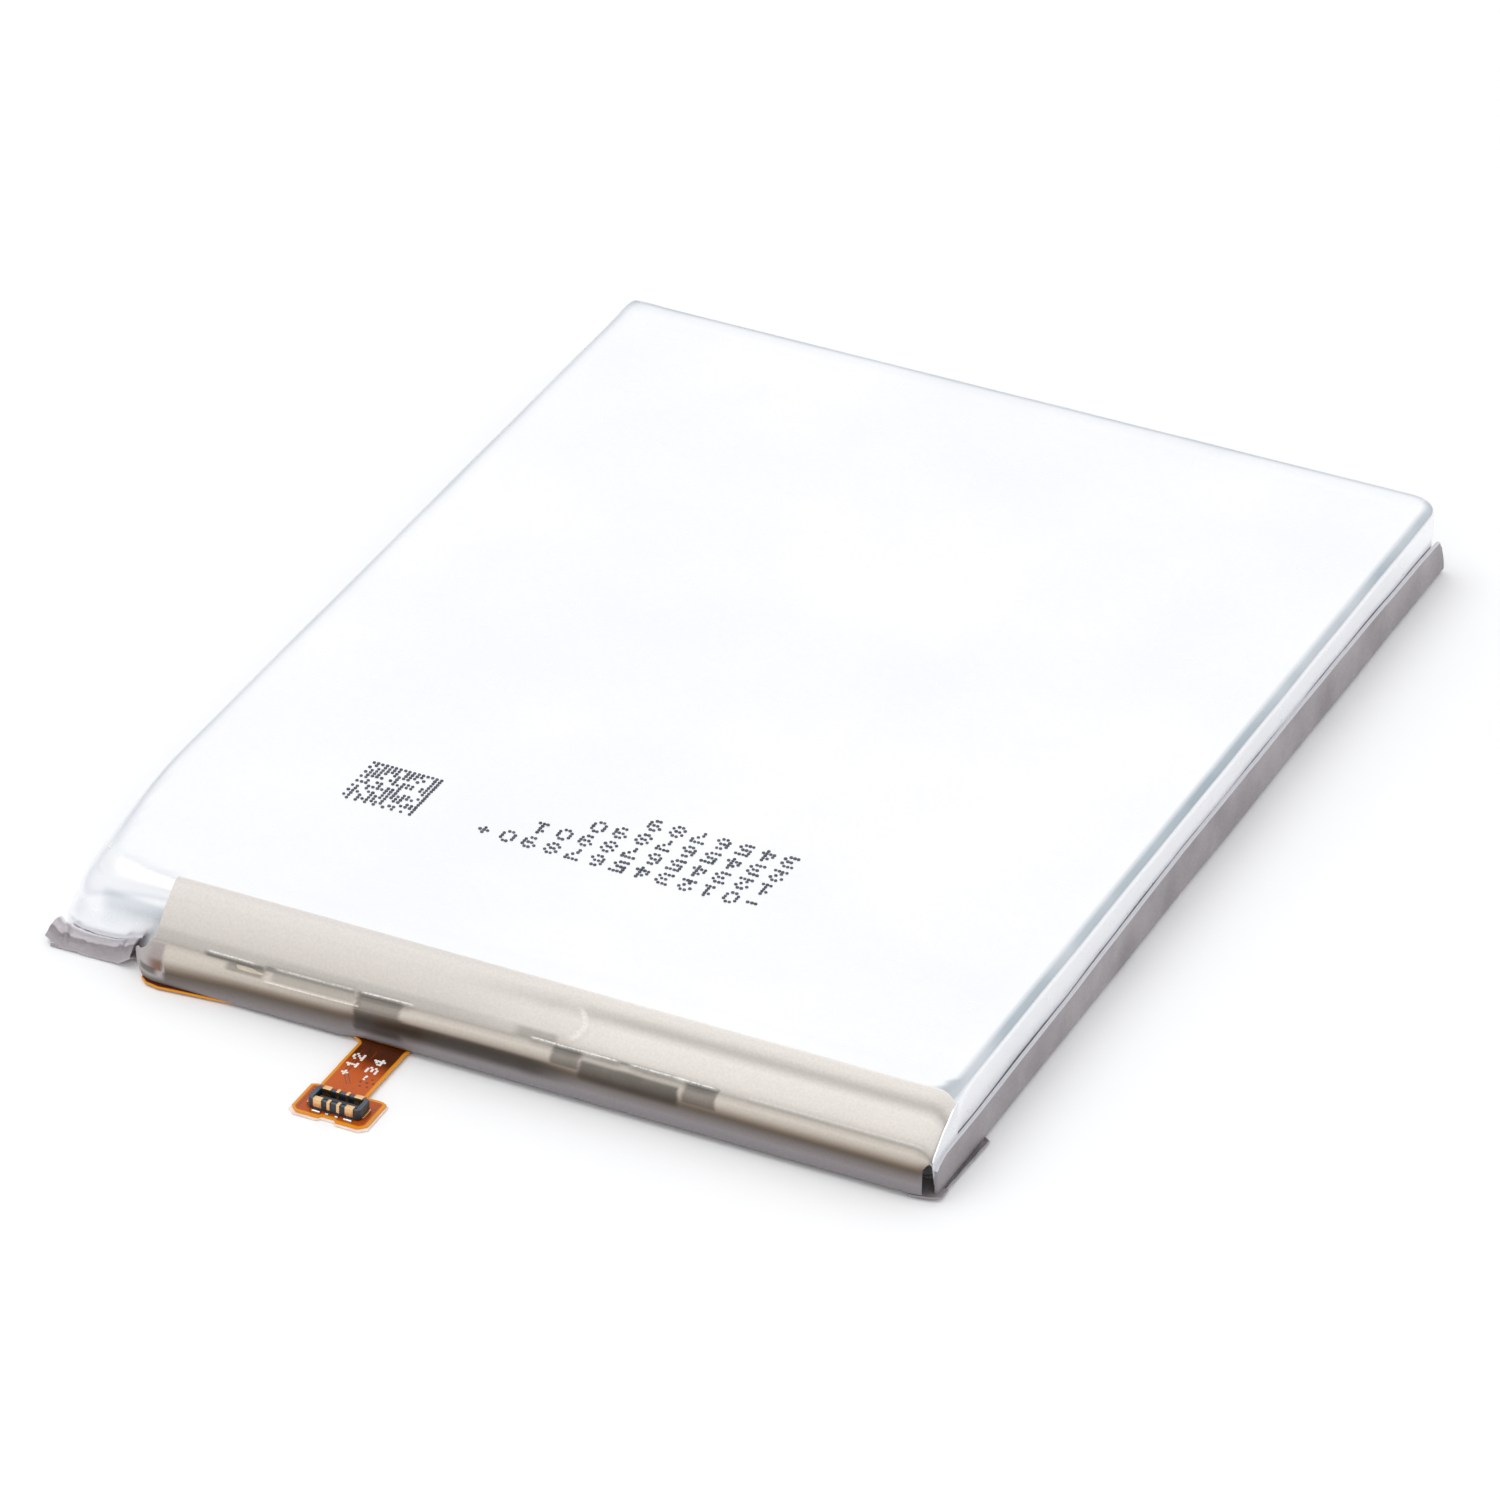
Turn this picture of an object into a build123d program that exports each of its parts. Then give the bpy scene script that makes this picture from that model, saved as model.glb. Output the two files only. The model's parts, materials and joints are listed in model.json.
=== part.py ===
"""Lithium polymer pouch battery pack, with its protection circuit and flex tail.

Frame, in millimetres: X is the width, Y the length and Z up. The origin is the centre of the pouch's
flat underside. The terminals, the circuit bar and the flex tail are at the -Y end.
"""
from build123d import *

import math
import os

os.makedirs("parts", exist_ok=True)

# ---- pouch ----
pack_width = 59.0  # over the folded side seals
cell_length = 78.0  # back fold to the cup's front wall
cell_thickness = 5.4
film = 0.11  # one laminate film
side_seal_height = 3.0
side_seal_gap = 0.08  # between the folded seal and the cup's wall
side_seal_back_gap = 0.1  # the folded seal ends this far short of the back fold
side_seal_overrun = 1.7  # the folded seal runs on past the cup's front wall
shoulder_radius = 1.2  # rounding round the cup's top face
cup_corner_radius = 2.0  # the cup's corners in plan

# ---- electrode stack ----
stack_clearance = 0.08  # least room between the stack and the pouch, above and below
anode_sheet = 0.120
cathode_sheet = 0.105
separator_sheet = 0.016
cathode_margin = 0.6  # a cathode is smaller than an anode all round
separator_margin = 0.5  # a separator is larger than an anode all round
stack_tape = 0.04
stack_tape_width = 12.0
stack_tape_lap = 4.0  # how far a binding tape reaches over the stack
tab_room = 2.6  # free length inside the cup for the gathered foils
tab_foil = 0.020
tab_foil_gap = 0.002
gather_run = 1.1  # length in which the foils come together
gather_lap = 0.7  # length of foil welded on a lead

# ---- leads ----
lead_thickness = 0.10
lead_width = 5.0
lead_film = 0.04  # sealant film on each side of a lead
lead_film_margin = 0.8  # film beside a lead
positive_lead_x = -11.4
negative_lead_x = 9.0
lead_bend_radius = 0.16  # at the middle of the lead

# ---- sealed terrace and circuit bar ----
terrace_depth = 2.5  # cup's front wall to the pack's front face
terrace_bend_radius = 0.25
terrace_fold_from_x = -13.9  # the terrace is folded up from here to its right end
corner_fold_side_gap = 0.1  # between the corner fold and the left side seal
corner_fold_length = 4.8
corner_fold_height = 1.5
corner_fold_reach = 1.7
tape_thickness = 0.06
tape_gap = 0.02  # adhesive between the tape and what it covers
tape_left_margin = 7.0  # from the cup's left side to the left end of the tape
tape_top_lap = 1.3  # tape on the pouch's top face, from its edge to the cup's front wall
tape_crest_height = 3.30  # where the tape folds over the bar
tape_crest_setback = 0.70
tape_nose_height = 2.85
tape_crest_radius = 0.15
tape_nose_radius = 0.50
tape_foot_radius = 0.25
tape_under_lap = 2.0

# ---- circuit board ----
board_left_inset = 0.9  # from the tape's left end
board_right_inset = 1.6  # from the cup's right side
board_thickness = 0.60
board_back_gap = 0.15  # board to the cup's front wall
board_front_gap = 0.10  # board to the folded terrace
board_adhesive = 0.10
weld_plate_thickness = 0.15
weld_plate_margin = 0.2  # a weld plate is wider than its lead
weld_plate_depth = 1.2
fuse_size = (2.4, 1.3, 0.70)
fuse_inset = 3.9  # from the board's left end
mosfet_size = (2.6, 1.4, 0.60)
mosfet_x = (-5.6, -2.4)
chip_size = (2.0, 1.3, 0.55)
chip_x = 2.4
resistor_size = (0.6, 0.3, 0.25)
resistor_x = (14.2, 15.3, 16.4, 17.5)
capacitor_size = (1.0, 0.5, 0.50)
capacitor_x = (19.4, 21.0, 22.6)
thermistor_size = (1.0, 0.5, 0.45)
thermistor_x = 25.2
component_clearance = 0.03  # tallest component to the insulating strip
strip_left_inset = 2.0  # from the tape's left end
strip_right_inset = 1.3  # from the cup's right side
strip_crown_gap = 0.12  # insulating strip to the tape at the bar's nose
strip_nose_radius = 0.40
cover_left_x = -14.5
cover_right_x = -8.3
cover_thickness = 0.12
cover_depth = 1.1
dot_x = 4.98
dot_radius = 1.0
dot_thickness = 0.06
dot_shoulder_gap = 0.42  # from the dot to where the tape's slope meets the shoulder

# ---- flex circuit ----
flex_thickness = 0.12
flex_height = 0.18  # middle of the flex above the pouch's underside
flex_fold_radius = 0.37
flex_fold_reach = 1.3  # from the board's end to where the flex turns down
flex_gap = 0.04  # between the flex and the tape above it
flex_run_depth = 1.7
flex_run_setback = 0.2  # from the pack's front face to the run's front edge
flex_bulge_length = 7.0  # from the run's left end to the middle of the bulge's slanted end
flex_bulge_slant = 3.5
flex_bulge = 0.40  # how far the run stands out in front of the bar there
flex_bulge_radius = 0.55
tail_left_x = -7.9
tail_right_x = -4.8
tail_root_widening = 0.55  # the fillet's width where the tail leaves the run
root_bend_length = 0.80
tail_length = 4.05
end_bend_length = 0.60
bend_clearance = 0.02
pad_left_x = -8.4
pad_right_x = -3.4
pad_length = 3.1
pad_corner_cut = 0.45
pad_notch_width = 0.9
pad_notch_depth = 0.25
stiffener_thickness = 0.10

# ---- board-to-board connector ----
connector_x = -5.75
connector_setback = 1.35  # pad's front edge to the connector's middle
housing_length = 3.5
housing_width = 1.45
housing_height = 0.72
housing_base = 0.22
housing_wall = 0.24
housing_end_wall = 0.34
island_width = 0.28
island_height = 0.50
contact_thickness = 0.06
power_contact_width = 0.55
signal_contact_width = 0.22
power_contact_offset = 1.05  # from the connector's middle, along its length
signal_contact_offset = 0.32
solder_foot_length = 0.28
solder_foot_height = 0.10
anchor_width = 0.16

# ---- sizes that follow from the ones above ----
side_seal_thickness = 2 * film
cup_half_width = pack_width / 2 - side_seal_thickness - side_seal_gap
cup_back_y = cell_length / 2
cup_front_y = -cell_length / 2
pack_front_y = cup_front_y - terrace_depth
cup_floor = film  # the cup stands on the flat cover
tape_left_x = -cup_half_width + tape_left_margin
tape_right_x = cup_half_width
board_left_x = tape_left_x + board_left_inset
board_right_x = cup_half_width - board_right_inset
fuse_x = board_left_x + fuse_inset
strip_left_x = tape_left_x + strip_left_inset
strip_right_x = cup_half_width - strip_right_inset
flex_run_left_x = board_left_x - flex_fold_reach
flex_bottom = flex_height - flex_thickness / 2
flex_top = flex_height + flex_thickness / 2
terrace_lift = flex_top + flex_gap + tape_thickness + tape_gap
flex_bulge_right_x = flex_run_left_x + flex_bulge_length
terrace_left_x = flex_run_left_x + tape_gap
inner_half_width = cup_half_width - film
inner_top = cell_thickness - film

pair_pitch = anode_sheet + cathode_sheet + 2 * separator_sheet
stack_room = inner_top - cup_floor - 2 * stack_clearance
anode_count = int((stack_room + cathode_sheet + 2 * separator_sheet) / pair_pitch)
cathode_count = anode_count - 1
separator_count = anode_count + cathode_count - 1
sheet_total = anode_count * anode_sheet + cathode_count * cathode_sheet + separator_count * separator_sheet
stack_bottom = (cup_floor + inner_top - sheet_total) / 2
separator_half_width = inner_half_width - shoulder_radius
anode_half_width = separator_half_width - separator_margin
cathode_half_width = anode_half_width - cathode_margin
separator_back_y = cup_back_y - film - shoulder_radius
separator_front_y = cup_front_y + film + tab_room
anode_back_y = separator_back_y - separator_margin
anode_front_y = separator_front_y + separator_margin
cathode_back_y = anode_back_y - cathode_margin
cathode_front_y = anode_front_y + cathode_margin

corner_fold_left_x = -cup_half_width + corner_fold_side_gap
terrace_thickness = 2 * film + 2 * lead_film + lead_thickness
terrace_top = terrace_lift + terrace_thickness
lead_z = terrace_lift + terrace_thickness / 2  # middle of a lead in the terrace
fold_outer_y = pack_front_y + tape_thickness + tape_gap
fold_middle_y = fold_outer_y + terrace_thickness / 2
fold_inner_y = fold_outer_y + terrace_thickness

board_bottom = terrace_top + board_adhesive
board_top = board_bottom + board_thickness
board_back_y = cup_front_y - board_back_gap
board_front_y = fold_inner_y + board_front_gap
board_middle_y = (board_back_y + board_front_y) / 2
board_depth = board_back_y - board_front_y
plate_top = board_top + weld_plate_thickness
lead_flat_z = plate_top + lead_thickness / 2
fold_top = lead_flat_z - lead_bend_radius - lead_thickness / 2
strip_bottom = board_top + max(fuse_size[2], mosfet_size[2], chip_size[2]) + component_clearance

tape_middle_front_y = pack_front_y + tape_thickness / 2
tape_middle_top = cell_thickness + tape_gap + tape_thickness / 2
tape_middle_bottom = terrace_lift - tape_gap - tape_thickness / 2
tape_shoulder_radius = shoulder_radius + tape_gap + tape_thickness / 2
tape_back_y = cup_front_y + tape_top_lap

flex_run_front_y = pack_front_y + flex_run_setback
flex_run_back_y = flex_run_front_y + flex_run_depth
root_axis_y = flex_run_front_y - root_bend_length / 2
tail_start_y = flex_run_front_y - root_bend_length
tail_end_y = tail_start_y - tail_length
end_axis_y = tail_end_y - end_bend_length / 2
pad_back_y = tail_end_y - end_bend_length
pad_front_y = pad_back_y - pad_length
connector_y = pad_front_y + connector_setback
tail_width = tail_right_x - tail_left_x
tail_middle_x = (tail_left_x + tail_right_x) / 2


def keep(piece, name):
    """Label a finished piece and write it to its own file."""
    piece.part.label = name
    export_step(piece.part, f"parts/{name}.step")


def sheet_heights(first, thickness, pitch, count):
    """Heights of the middles of equally spaced sheets, the lowest one's underside at first."""
    return [first + thickness / 2 + pitch * index for index in range(count)]


# ======== pouch ========

with BuildPart() as pouch_cover:
    with BuildSketch(Plane.XY):
        RectangleRounded(2 * cup_half_width, cell_length, cup_corner_radius)
    extrude(amount=film)

lead_slot_width = lead_width + 2 * lead_film_margin
lead_slot_height = lead_thickness + 2 * lead_film

with BuildPart() as pouch_cup:
    with BuildSketch(Plane.XY.offset(cup_floor)):
        RectangleRounded(2 * cup_half_width, cell_length, cup_corner_radius)
    extrude(amount=cell_thickness - cup_floor)
    fillet(pouch_cup.faces().sort_by(Axis.Z)[-1].edges(), radius=shoulder_radius)
    offset(amount=-film, openings=pouch_cup.faces().sort_by(Axis.Z)[0])
    with BuildSketch(Plane.XZ.offset(-cup_front_y - 2 * film)):
        with Locations((positive_lead_x, lead_z), (negative_lead_x, lead_z)):
            Rectangle(lead_slot_width, lead_slot_height)
    extrude(amount=3 * film, mode=Mode.SUBTRACT)

side_seal_back_y = cup_back_y - side_seal_back_gap
side_seal_length = side_seal_back_y - cup_front_y + side_seal_overrun
side_root_length = cell_length - 2 * cup_corner_radius  # where the seal meets the cup's straight side

with BuildPart() as side_seal_right:
    with BuildSketch(Plane.XY):
        with Locations((pack_width / 2, side_seal_back_y)):
            Rectangle(side_seal_thickness, side_seal_length, align=(Align.MAX, Align.MAX))
    extrude(amount=side_seal_height)
    chamfer(side_seal_right.faces().sort_by(Axis.X)[-1].edges().sort_by(Axis.Z)[0], length=film)
    with BuildSketch(Plane.XY):
        with Locations((cup_half_width, 0)):
            Rectangle(side_seal_gap, side_root_length, align=(Align.MIN, Align.CENTER))
    extrude(amount=film)

with BuildPart() as side_seal_left:
    mirror(side_seal_right.part, about=Plane.YZ)

# The two films and the sealant between them, flat over the terrace and folded up at the front.
with BuildPart() as terrace_seal:
    with BuildSketch(Plane.YZ.offset(terrace_fold_from_x)):
        with BuildLine():
            FilletPolyline(
                (cup_front_y, lead_z),
                (fold_middle_y, lead_z),
                (fold_middle_y, fold_top),
                radius=terrace_bend_radius,
            )
        trace(line_width=terrace_thickness)
    extrude(amount=cup_half_width - cup_corner_radius - terrace_fold_from_x)
    with BuildSketch(Plane.XY.offset(terrace_lift)):
        with Locations((terrace_left_x, cup_front_y)):
            Rectangle(
                terrace_fold_from_x - terrace_left_x,
                cup_front_y - fold_inner_y,
                align=(Align.MIN, Align.MAX),
            )
    extrude(amount=terrace_thickness)
    for lead_x in (positive_lead_x, negative_lead_x):
        with BuildSketch(Plane.YZ.offset(lead_x - lead_slot_width / 2)):
            with BuildLine():
                FilletPolyline(
                    (cup_front_y, lead_z),
                    (fold_middle_y, lead_z),
                    (fold_middle_y, fold_top),
                    radius=terrace_bend_radius,
                )
            trace(line_width=lead_slot_height)
        extrude(amount=lead_slot_width, mode=Mode.SUBTRACT)

# The left end of the terrace, folded up against the cup's front wall.
with BuildPart() as corner_fold:
    with BuildSketch(Plane.YZ.offset(corner_fold_left_x)):
        with BuildLine():
            FilletPolyline(
                (cup_front_y, terrace_lift + side_seal_thickness / 2),
                (cup_front_y - corner_fold_reach / 2, terrace_lift + side_seal_thickness / 2),
                (cup_front_y - corner_fold_reach, terrace_lift + corner_fold_height),
                radius=terrace_bend_radius,
            )
        trace(line_width=side_seal_thickness)
    extrude(amount=corner_fold_length)

# ======== electrode stack ========

anode_heights = sheet_heights(stack_bottom, anode_sheet, pair_pitch, anode_count)
cathode_heights = sheet_heights(
    stack_bottom + anode_sheet + separator_sheet, cathode_sheet, pair_pitch, cathode_count
)

with BuildPart() as anode_sheets:
    for height in anode_heights:
        with BuildSketch(Plane.XY.offset(height - anode_sheet / 2)):
            with Locations((0, anode_front_y)):
                Rectangle(
                    2 * anode_half_width,
                    anode_back_y - anode_front_y,
                    align=(Align.CENTER, Align.MIN),
                )
        extrude(amount=anode_sheet)

with BuildPart() as cathode_sheets:
    for height in cathode_heights:
        with BuildSketch(Plane.XY.offset(height - cathode_sheet / 2)):
            with Locations((0, cathode_front_y)):
                Rectangle(
                    2 * cathode_half_width,
                    cathode_back_y - cathode_front_y,
                    align=(Align.CENTER, Align.MIN),
                )
        extrude(amount=cathode_sheet)

with BuildPart() as separator_sheets:
    for height in cathode_heights:
        for side in (-1, 1):
            middle = height + side * (cathode_sheet + separator_sheet) / 2
            with BuildSketch(Plane.XY.offset(middle - separator_sheet / 2)):
                with Locations((0, separator_front_y)):
                    Rectangle(
                        2 * separator_half_width,
                        separator_back_y - separator_front_y,
                        align=(Align.CENTER, Align.MIN),
                    )
            extrude(amount=separator_sheet)

stack_top = stack_bottom + sheet_total
binding_height = stack_top - stack_bottom + 2 * stack_tape

# Four binding tapes, two on each long side, each a U round the stack's edge.
with BuildPart() as stack_tapes:
    with BuildSketch(Plane.XY.offset(stack_bottom - stack_tape)):
        with GridLocations(2 * (separator_half_width + stack_tape) - stack_tape_lap, cell_length / 2, 2, 2):
            Rectangle(stack_tape_lap, stack_tape_width)
    extrude(amount=binding_height)
    with BuildSketch(Plane.XY.offset(stack_bottom)):
        Rectangle(2 * separator_half_width, cell_length)
    extrude(amount=stack_top - stack_bottom, mode=Mode.SUBTRACT)

gather_start_y = separator_front_y
gather_y = separator_front_y - gather_run
foil_end_y = gather_y - gather_lap
gather_bottom = lead_z + lead_thickness / 2


def foil_outline(sheet_z, gather_z, sheet_front_y):
    """Draw one foil: flat out of its sheet, down or up to its place on the lead, and flat on the lead."""
    half = tab_foil / 2
    Polyline(
        (sheet_front_y, sheet_z - half),
        (gather_start_y, sheet_z - half),
        (gather_y, gather_z - half),
        (foil_end_y, gather_z - half),
        (foil_end_y, gather_z + half),
        (gather_y, gather_z + half),
        (gather_start_y, sheet_z + half),
        (sheet_front_y, sheet_z + half),
        close=True,
    )


with BuildPart() as anode_foils:
    for index, height in enumerate(anode_heights):
        gather_z = gather_bottom + tab_foil / 2 + tab_foil_gap + index * (tab_foil + tab_foil_gap)
        with BuildSketch(Plane.YZ.offset(negative_lead_x - lead_width / 2)):
            with BuildLine():
                foil_outline(height, gather_z, anode_front_y)
            make_face()
        extrude(amount=lead_width)

with BuildPart() as cathode_foils:
    for index, height in enumerate(cathode_heights):
        gather_z = gather_bottom + tab_foil / 2 + tab_foil_gap + index * (tab_foil + tab_foil_gap)
        with BuildSketch(Plane.YZ.offset(positive_lead_x - lead_width / 2)):
            with BuildLine():
                foil_outline(height, gather_z, cathode_front_y)
            make_face()
        extrude(amount=lead_width)

# ======== leads ========

lead_back_end_y = board_middle_y + weld_plate_depth / 2


def lead_route():
    """Middle line of a lead: out through the terrace, up its fold and back on to the weld plate."""
    FilletPolyline(
        (gather_y, lead_z),
        (fold_middle_y, lead_z),
        (fold_middle_y, lead_flat_z),
        (lead_back_end_y, lead_flat_z),
        radius=(terrace_bend_radius, lead_bend_radius),
    )


def film_route():
    """Middle line of the sealant film, from inside the cup to the top of the terrace's fold."""
    FilletPolyline(
        (cup_front_y + 2 * film, lead_z),
        (fold_middle_y, lead_z),
        (fold_middle_y, fold_top),
        radius=terrace_bend_radius,
    )


with BuildPart() as negative_lead:
    with BuildSketch(Plane.YZ.offset(negative_lead_x - lead_width / 2)):
        with BuildLine():
            lead_route()
        trace(line_width=lead_thickness)
    extrude(amount=lead_width)

with BuildPart() as positive_lead:
    with BuildSketch(Plane.YZ.offset(positive_lead_x - lead_width / 2)):
        with BuildLine():
            lead_route()
        trace(line_width=lead_thickness)
    extrude(amount=lead_width)

with BuildPart() as lead_seal_films:
    for lead_x in (positive_lead_x, negative_lead_x):
        with BuildSketch(Plane.YZ.offset(lead_x - lead_slot_width / 2)):
            with BuildLine():
                film_route()
            trace(line_width=lead_slot_height)
        extrude(amount=lead_slot_width)
        with BuildSketch(Plane.YZ.offset(lead_x - lead_width / 2)):
            with BuildLine():
                film_route()
            trace(line_width=lead_thickness)
        extrude(amount=lead_width, mode=Mode.SUBTRACT)

# ======== circuit board and what is on it ========

with BuildPart() as board_tape:
    with BuildSketch(Plane.XY.offset(terrace_top)):
        with Locations((terrace_fold_from_x, board_middle_y)):
            Rectangle(board_right_x - terrace_fold_from_x, board_depth, align=(Align.MIN, Align.CENTER))
    extrude(amount=board_adhesive)

with BuildPart() as circuit_board:
    with BuildSketch(Plane.XY.offset(board_bottom)):
        with Locations((board_left_x, board_middle_y)):
            Rectangle(board_right_x - board_left_x, board_depth, align=(Align.MIN, Align.CENTER))
    extrude(amount=board_thickness)
    fillet(circuit_board.edges().filter_by(Axis.Z).group_by(Axis.X)[0], radius=board_depth / 4)

with BuildPart() as weld_plates:
    with BuildSketch(Plane.XY.offset(board_top)):
        with Locations((positive_lead_x, board_middle_y), (negative_lead_x, board_middle_y)):
            Rectangle(lead_width + 2 * weld_plate_margin, weld_plate_depth)
    extrude(amount=weld_plate_thickness)


def place_chips(size, places_x):
    """Stand a block of this size on the board at each place."""
    with Locations([(place, board_middle_y, board_top) for place in places_x]):
        Box(*size, align=(Align.CENTER, Align.CENTER, Align.MIN))


with BuildPart() as board_fuse:
    place_chips(fuse_size, [fuse_x])
    chamfer(board_fuse.faces().sort_by(Axis.Z)[-1].edges(), length=0.05)

with BuildPart() as mosfets:
    place_chips(mosfet_size, mosfet_x)
    chamfer(mosfets.faces().group_by(Axis.Z)[-1].edges(), length=0.05)

with BuildPart() as protection_chip:
    place_chips(chip_size, [chip_x])
    chamfer(protection_chip.faces().sort_by(Axis.Z)[-1].edges(), length=0.05)

with BuildPart() as chip_resistors:
    place_chips(resistor_size, resistor_x)

with BuildPart() as chip_capacitors:
    place_chips(capacitor_size, capacitor_x)

with BuildPart() as thermistor:
    place_chips(thermistor_size, [thermistor_x])

# ======== insulating strip, tape and what it holds ========

strip_front_y = tape_middle_front_y + tape_thickness / 2 + strip_crown_gap
strip_top = tape_nose_height - strip_crown_gap

with BuildPart() as insulating_strip:
    with BuildSketch(Plane.XY.offset(strip_bottom)):
        with Locations((strip_left_x, board_back_y)):
            Rectangle(
                strip_right_x - strip_left_x,
                board_back_y - strip_front_y,
                align=(Align.MIN, Align.MAX),
            )
    extrude(amount=strip_top - strip_bottom)
    fillet(
        insulating_strip.faces().sort_by(Axis.Z)[-1].edges().sort_by(Axis.Y)[0],
        radius=min(strip_nose_radius, (strip_top - strip_bottom) * 0.8),
    )

with BuildPart() as lead_cover:
    with BuildSketch(Plane.XY.offset(strip_top)):
        with Locations((cover_left_x, strip_front_y + strip_nose_radius)):
            Rectangle(cover_right_x - cover_left_x, cover_depth, align=(Align.MIN, Align.MIN))
    extrude(amount=cover_thickness)

# The slope of the tape leaves the shoulder on a line that touches its rounding and meets the crest.
crest = Vector(pack_front_y + tape_crest_setback, tape_crest_height)
shoulder_centre = Vector(cup_front_y + shoulder_radius, cell_thickness - shoulder_radius)
to_centre = shoulder_centre - crest
slope_turn = math.degrees(
    math.atan2(to_centre.Y, to_centre.X) + math.asin(tape_shoulder_radius / to_centre.length)
)
slope_direction = Vector(1, 0).rotate(Axis.Z, slope_turn)
slope_head = crest + slope_direction * ((tape_middle_top - crest.Y) / slope_direction.Y)
slope_straight = math.sqrt(to_centre.length**2 - tape_shoulder_radius**2)

with BuildPart() as wrap_tape:
    with BuildSketch(Plane.YZ.offset(tape_left_x)):
        with BuildLine():
            FilletPolyline(
                (tape_back_y, tape_middle_top),
                (slope_head.X, tape_middle_top),
                (crest.X, crest.Y),
                (tape_middle_front_y, tape_nose_height),
                (tape_middle_front_y, tape_middle_bottom),
                (tape_middle_front_y + tape_under_lap, tape_middle_bottom),
                radius=(tape_shoulder_radius, tape_crest_radius, tape_nose_radius, tape_foot_radius),
            )
        trace(line_width=tape_thickness)
    extrude(amount=tape_right_x - tape_left_x)

# A flat round dot on the inside of the tape's slope.
dot_centre = crest + slope_direction * (slope_straight - dot_shoulder_gap - dot_radius)
slope_plane = Plane(
    origin=(dot_x, dot_centre.X, dot_centre.Y),
    x_dir=(1, 0, 0),
    z_dir=(0, slope_direction.Y, -slope_direction.X),
)
with BuildPart() as adhesive_dot:
    with BuildSketch(slope_plane.offset(tape_thickness / 2 + tape_gap)):
        Circle(dot_radius)
    extrude(amount=dot_thickness)

# ======== flex circuit ========

board_flex_z = flex_height + 2 * flex_fold_radius

# The flex leaves the end of the board, turns down and comes back under the bar.
with BuildPart() as flex_fold:
    with BuildSketch(Plane.XZ.offset(-board_back_y)):
        with BuildLine():
            fold_top_line = Line((board_left_x, board_flex_z), (flex_run_left_x, board_flex_z))
            TangentArc(fold_top_line @ 1, (flex_run_left_x, flex_height), tangent=fold_top_line % 1)
        trace(line_width=flex_thickness)
    extrude(amount=board_depth)

# The run under the bar, with its round front corner standing out at the left.
with BuildPart() as flex_run:
    with BuildSketch(Plane.XY.offset(flex_bottom)):
        with BuildLine():
            Polyline(
                (flex_run_left_x, flex_run_back_y),
                (tail_right_x, flex_run_back_y),
                (tail_right_x, flex_run_front_y),
                (flex_bulge_right_x + flex_bulge_slant / 2, flex_run_front_y),
                (flex_bulge_right_x - flex_bulge_slant / 2, flex_run_front_y - flex_bulge),
                (flex_run_left_x, flex_run_front_y - flex_bulge),
                close=True,
            )
        make_face()
    extrude(amount=flex_thickness)
    fillet(
        flex_run.edges().filter_by(Axis.Z).sort_by_distance((flex_run_left_x, flex_run_front_y, 0))[0],
        radius=flex_bulge_radius,
    )

with BuildPart() as flex_root_bend:
    with BuildSketch(Plane.XY.offset(flex_bottom)):
        with BuildLine():
            root_left = Line(
                (tail_left_x - tail_root_widening, flex_run_front_y), (tail_right_x, flex_run_front_y)
            )
            root_right = Line(root_left @ 1, (tail_right_x, tail_start_y + bend_clearance))
            root_front = Line(root_right @ 1, (tail_left_x, tail_start_y + bend_clearance))
            TangentArc(root_front @ 1, root_left @ 0, tangent=(0, 1))
        make_face()
    extrude(amount=flex_thickness)

with BuildPart() as flex_tail:
    with BuildSketch(Plane.XY.offset(flex_bottom)):
        with Locations((tail_left_x, tail_start_y)):
            Rectangle(tail_width, tail_length, align=(Align.MIN, Align.MAX))
    extrude(amount=flex_thickness)

with BuildPart() as flex_end_bend:
    with BuildSketch(Plane.XY.offset(flex_bottom)):
        with Locations((tail_left_x, tail_end_y)):
            Rectangle(tail_width, end_bend_length - bend_clearance, align=(Align.MIN, Align.MAX))
    extrude(amount=flex_thickness)


# The connector pad has cut front corners and a small notch in the middle of its front edge.
with BuildSketch() as pad_outline:
    with BuildLine():
        Polyline(
            (pad_left_x, pad_back_y),
            (pad_left_x, pad_front_y + pad_corner_cut),
            (pad_left_x + pad_corner_cut, pad_front_y),
            (pad_right_x - pad_corner_cut, pad_front_y),
            (pad_right_x, pad_front_y + pad_corner_cut),
            (pad_right_x, pad_back_y),
            close=True,
        )
    make_face()
    with Locations(((pad_left_x + pad_right_x) / 2, pad_front_y)):
        Rectangle(pad_notch_width, 2 * pad_notch_depth, mode=Mode.SUBTRACT)

with BuildPart() as connector_flex:
    with BuildSketch(Plane.XY.offset(flex_bottom)):
        add(pad_outline.sketch)
    extrude(amount=flex_thickness)

with BuildPart() as pad_stiffener:
    with BuildSketch(Plane.XY.offset(flex_bottom - stiffener_thickness)):
        add(pad_outline.sketch)
    extrude(amount=stiffener_thickness)

# ======== board-to-board connector ========

housing_top = flex_top + housing_height
cavity_length = housing_length - 2 * housing_end_wall
cavity_width = housing_width - 2 * housing_wall

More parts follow.
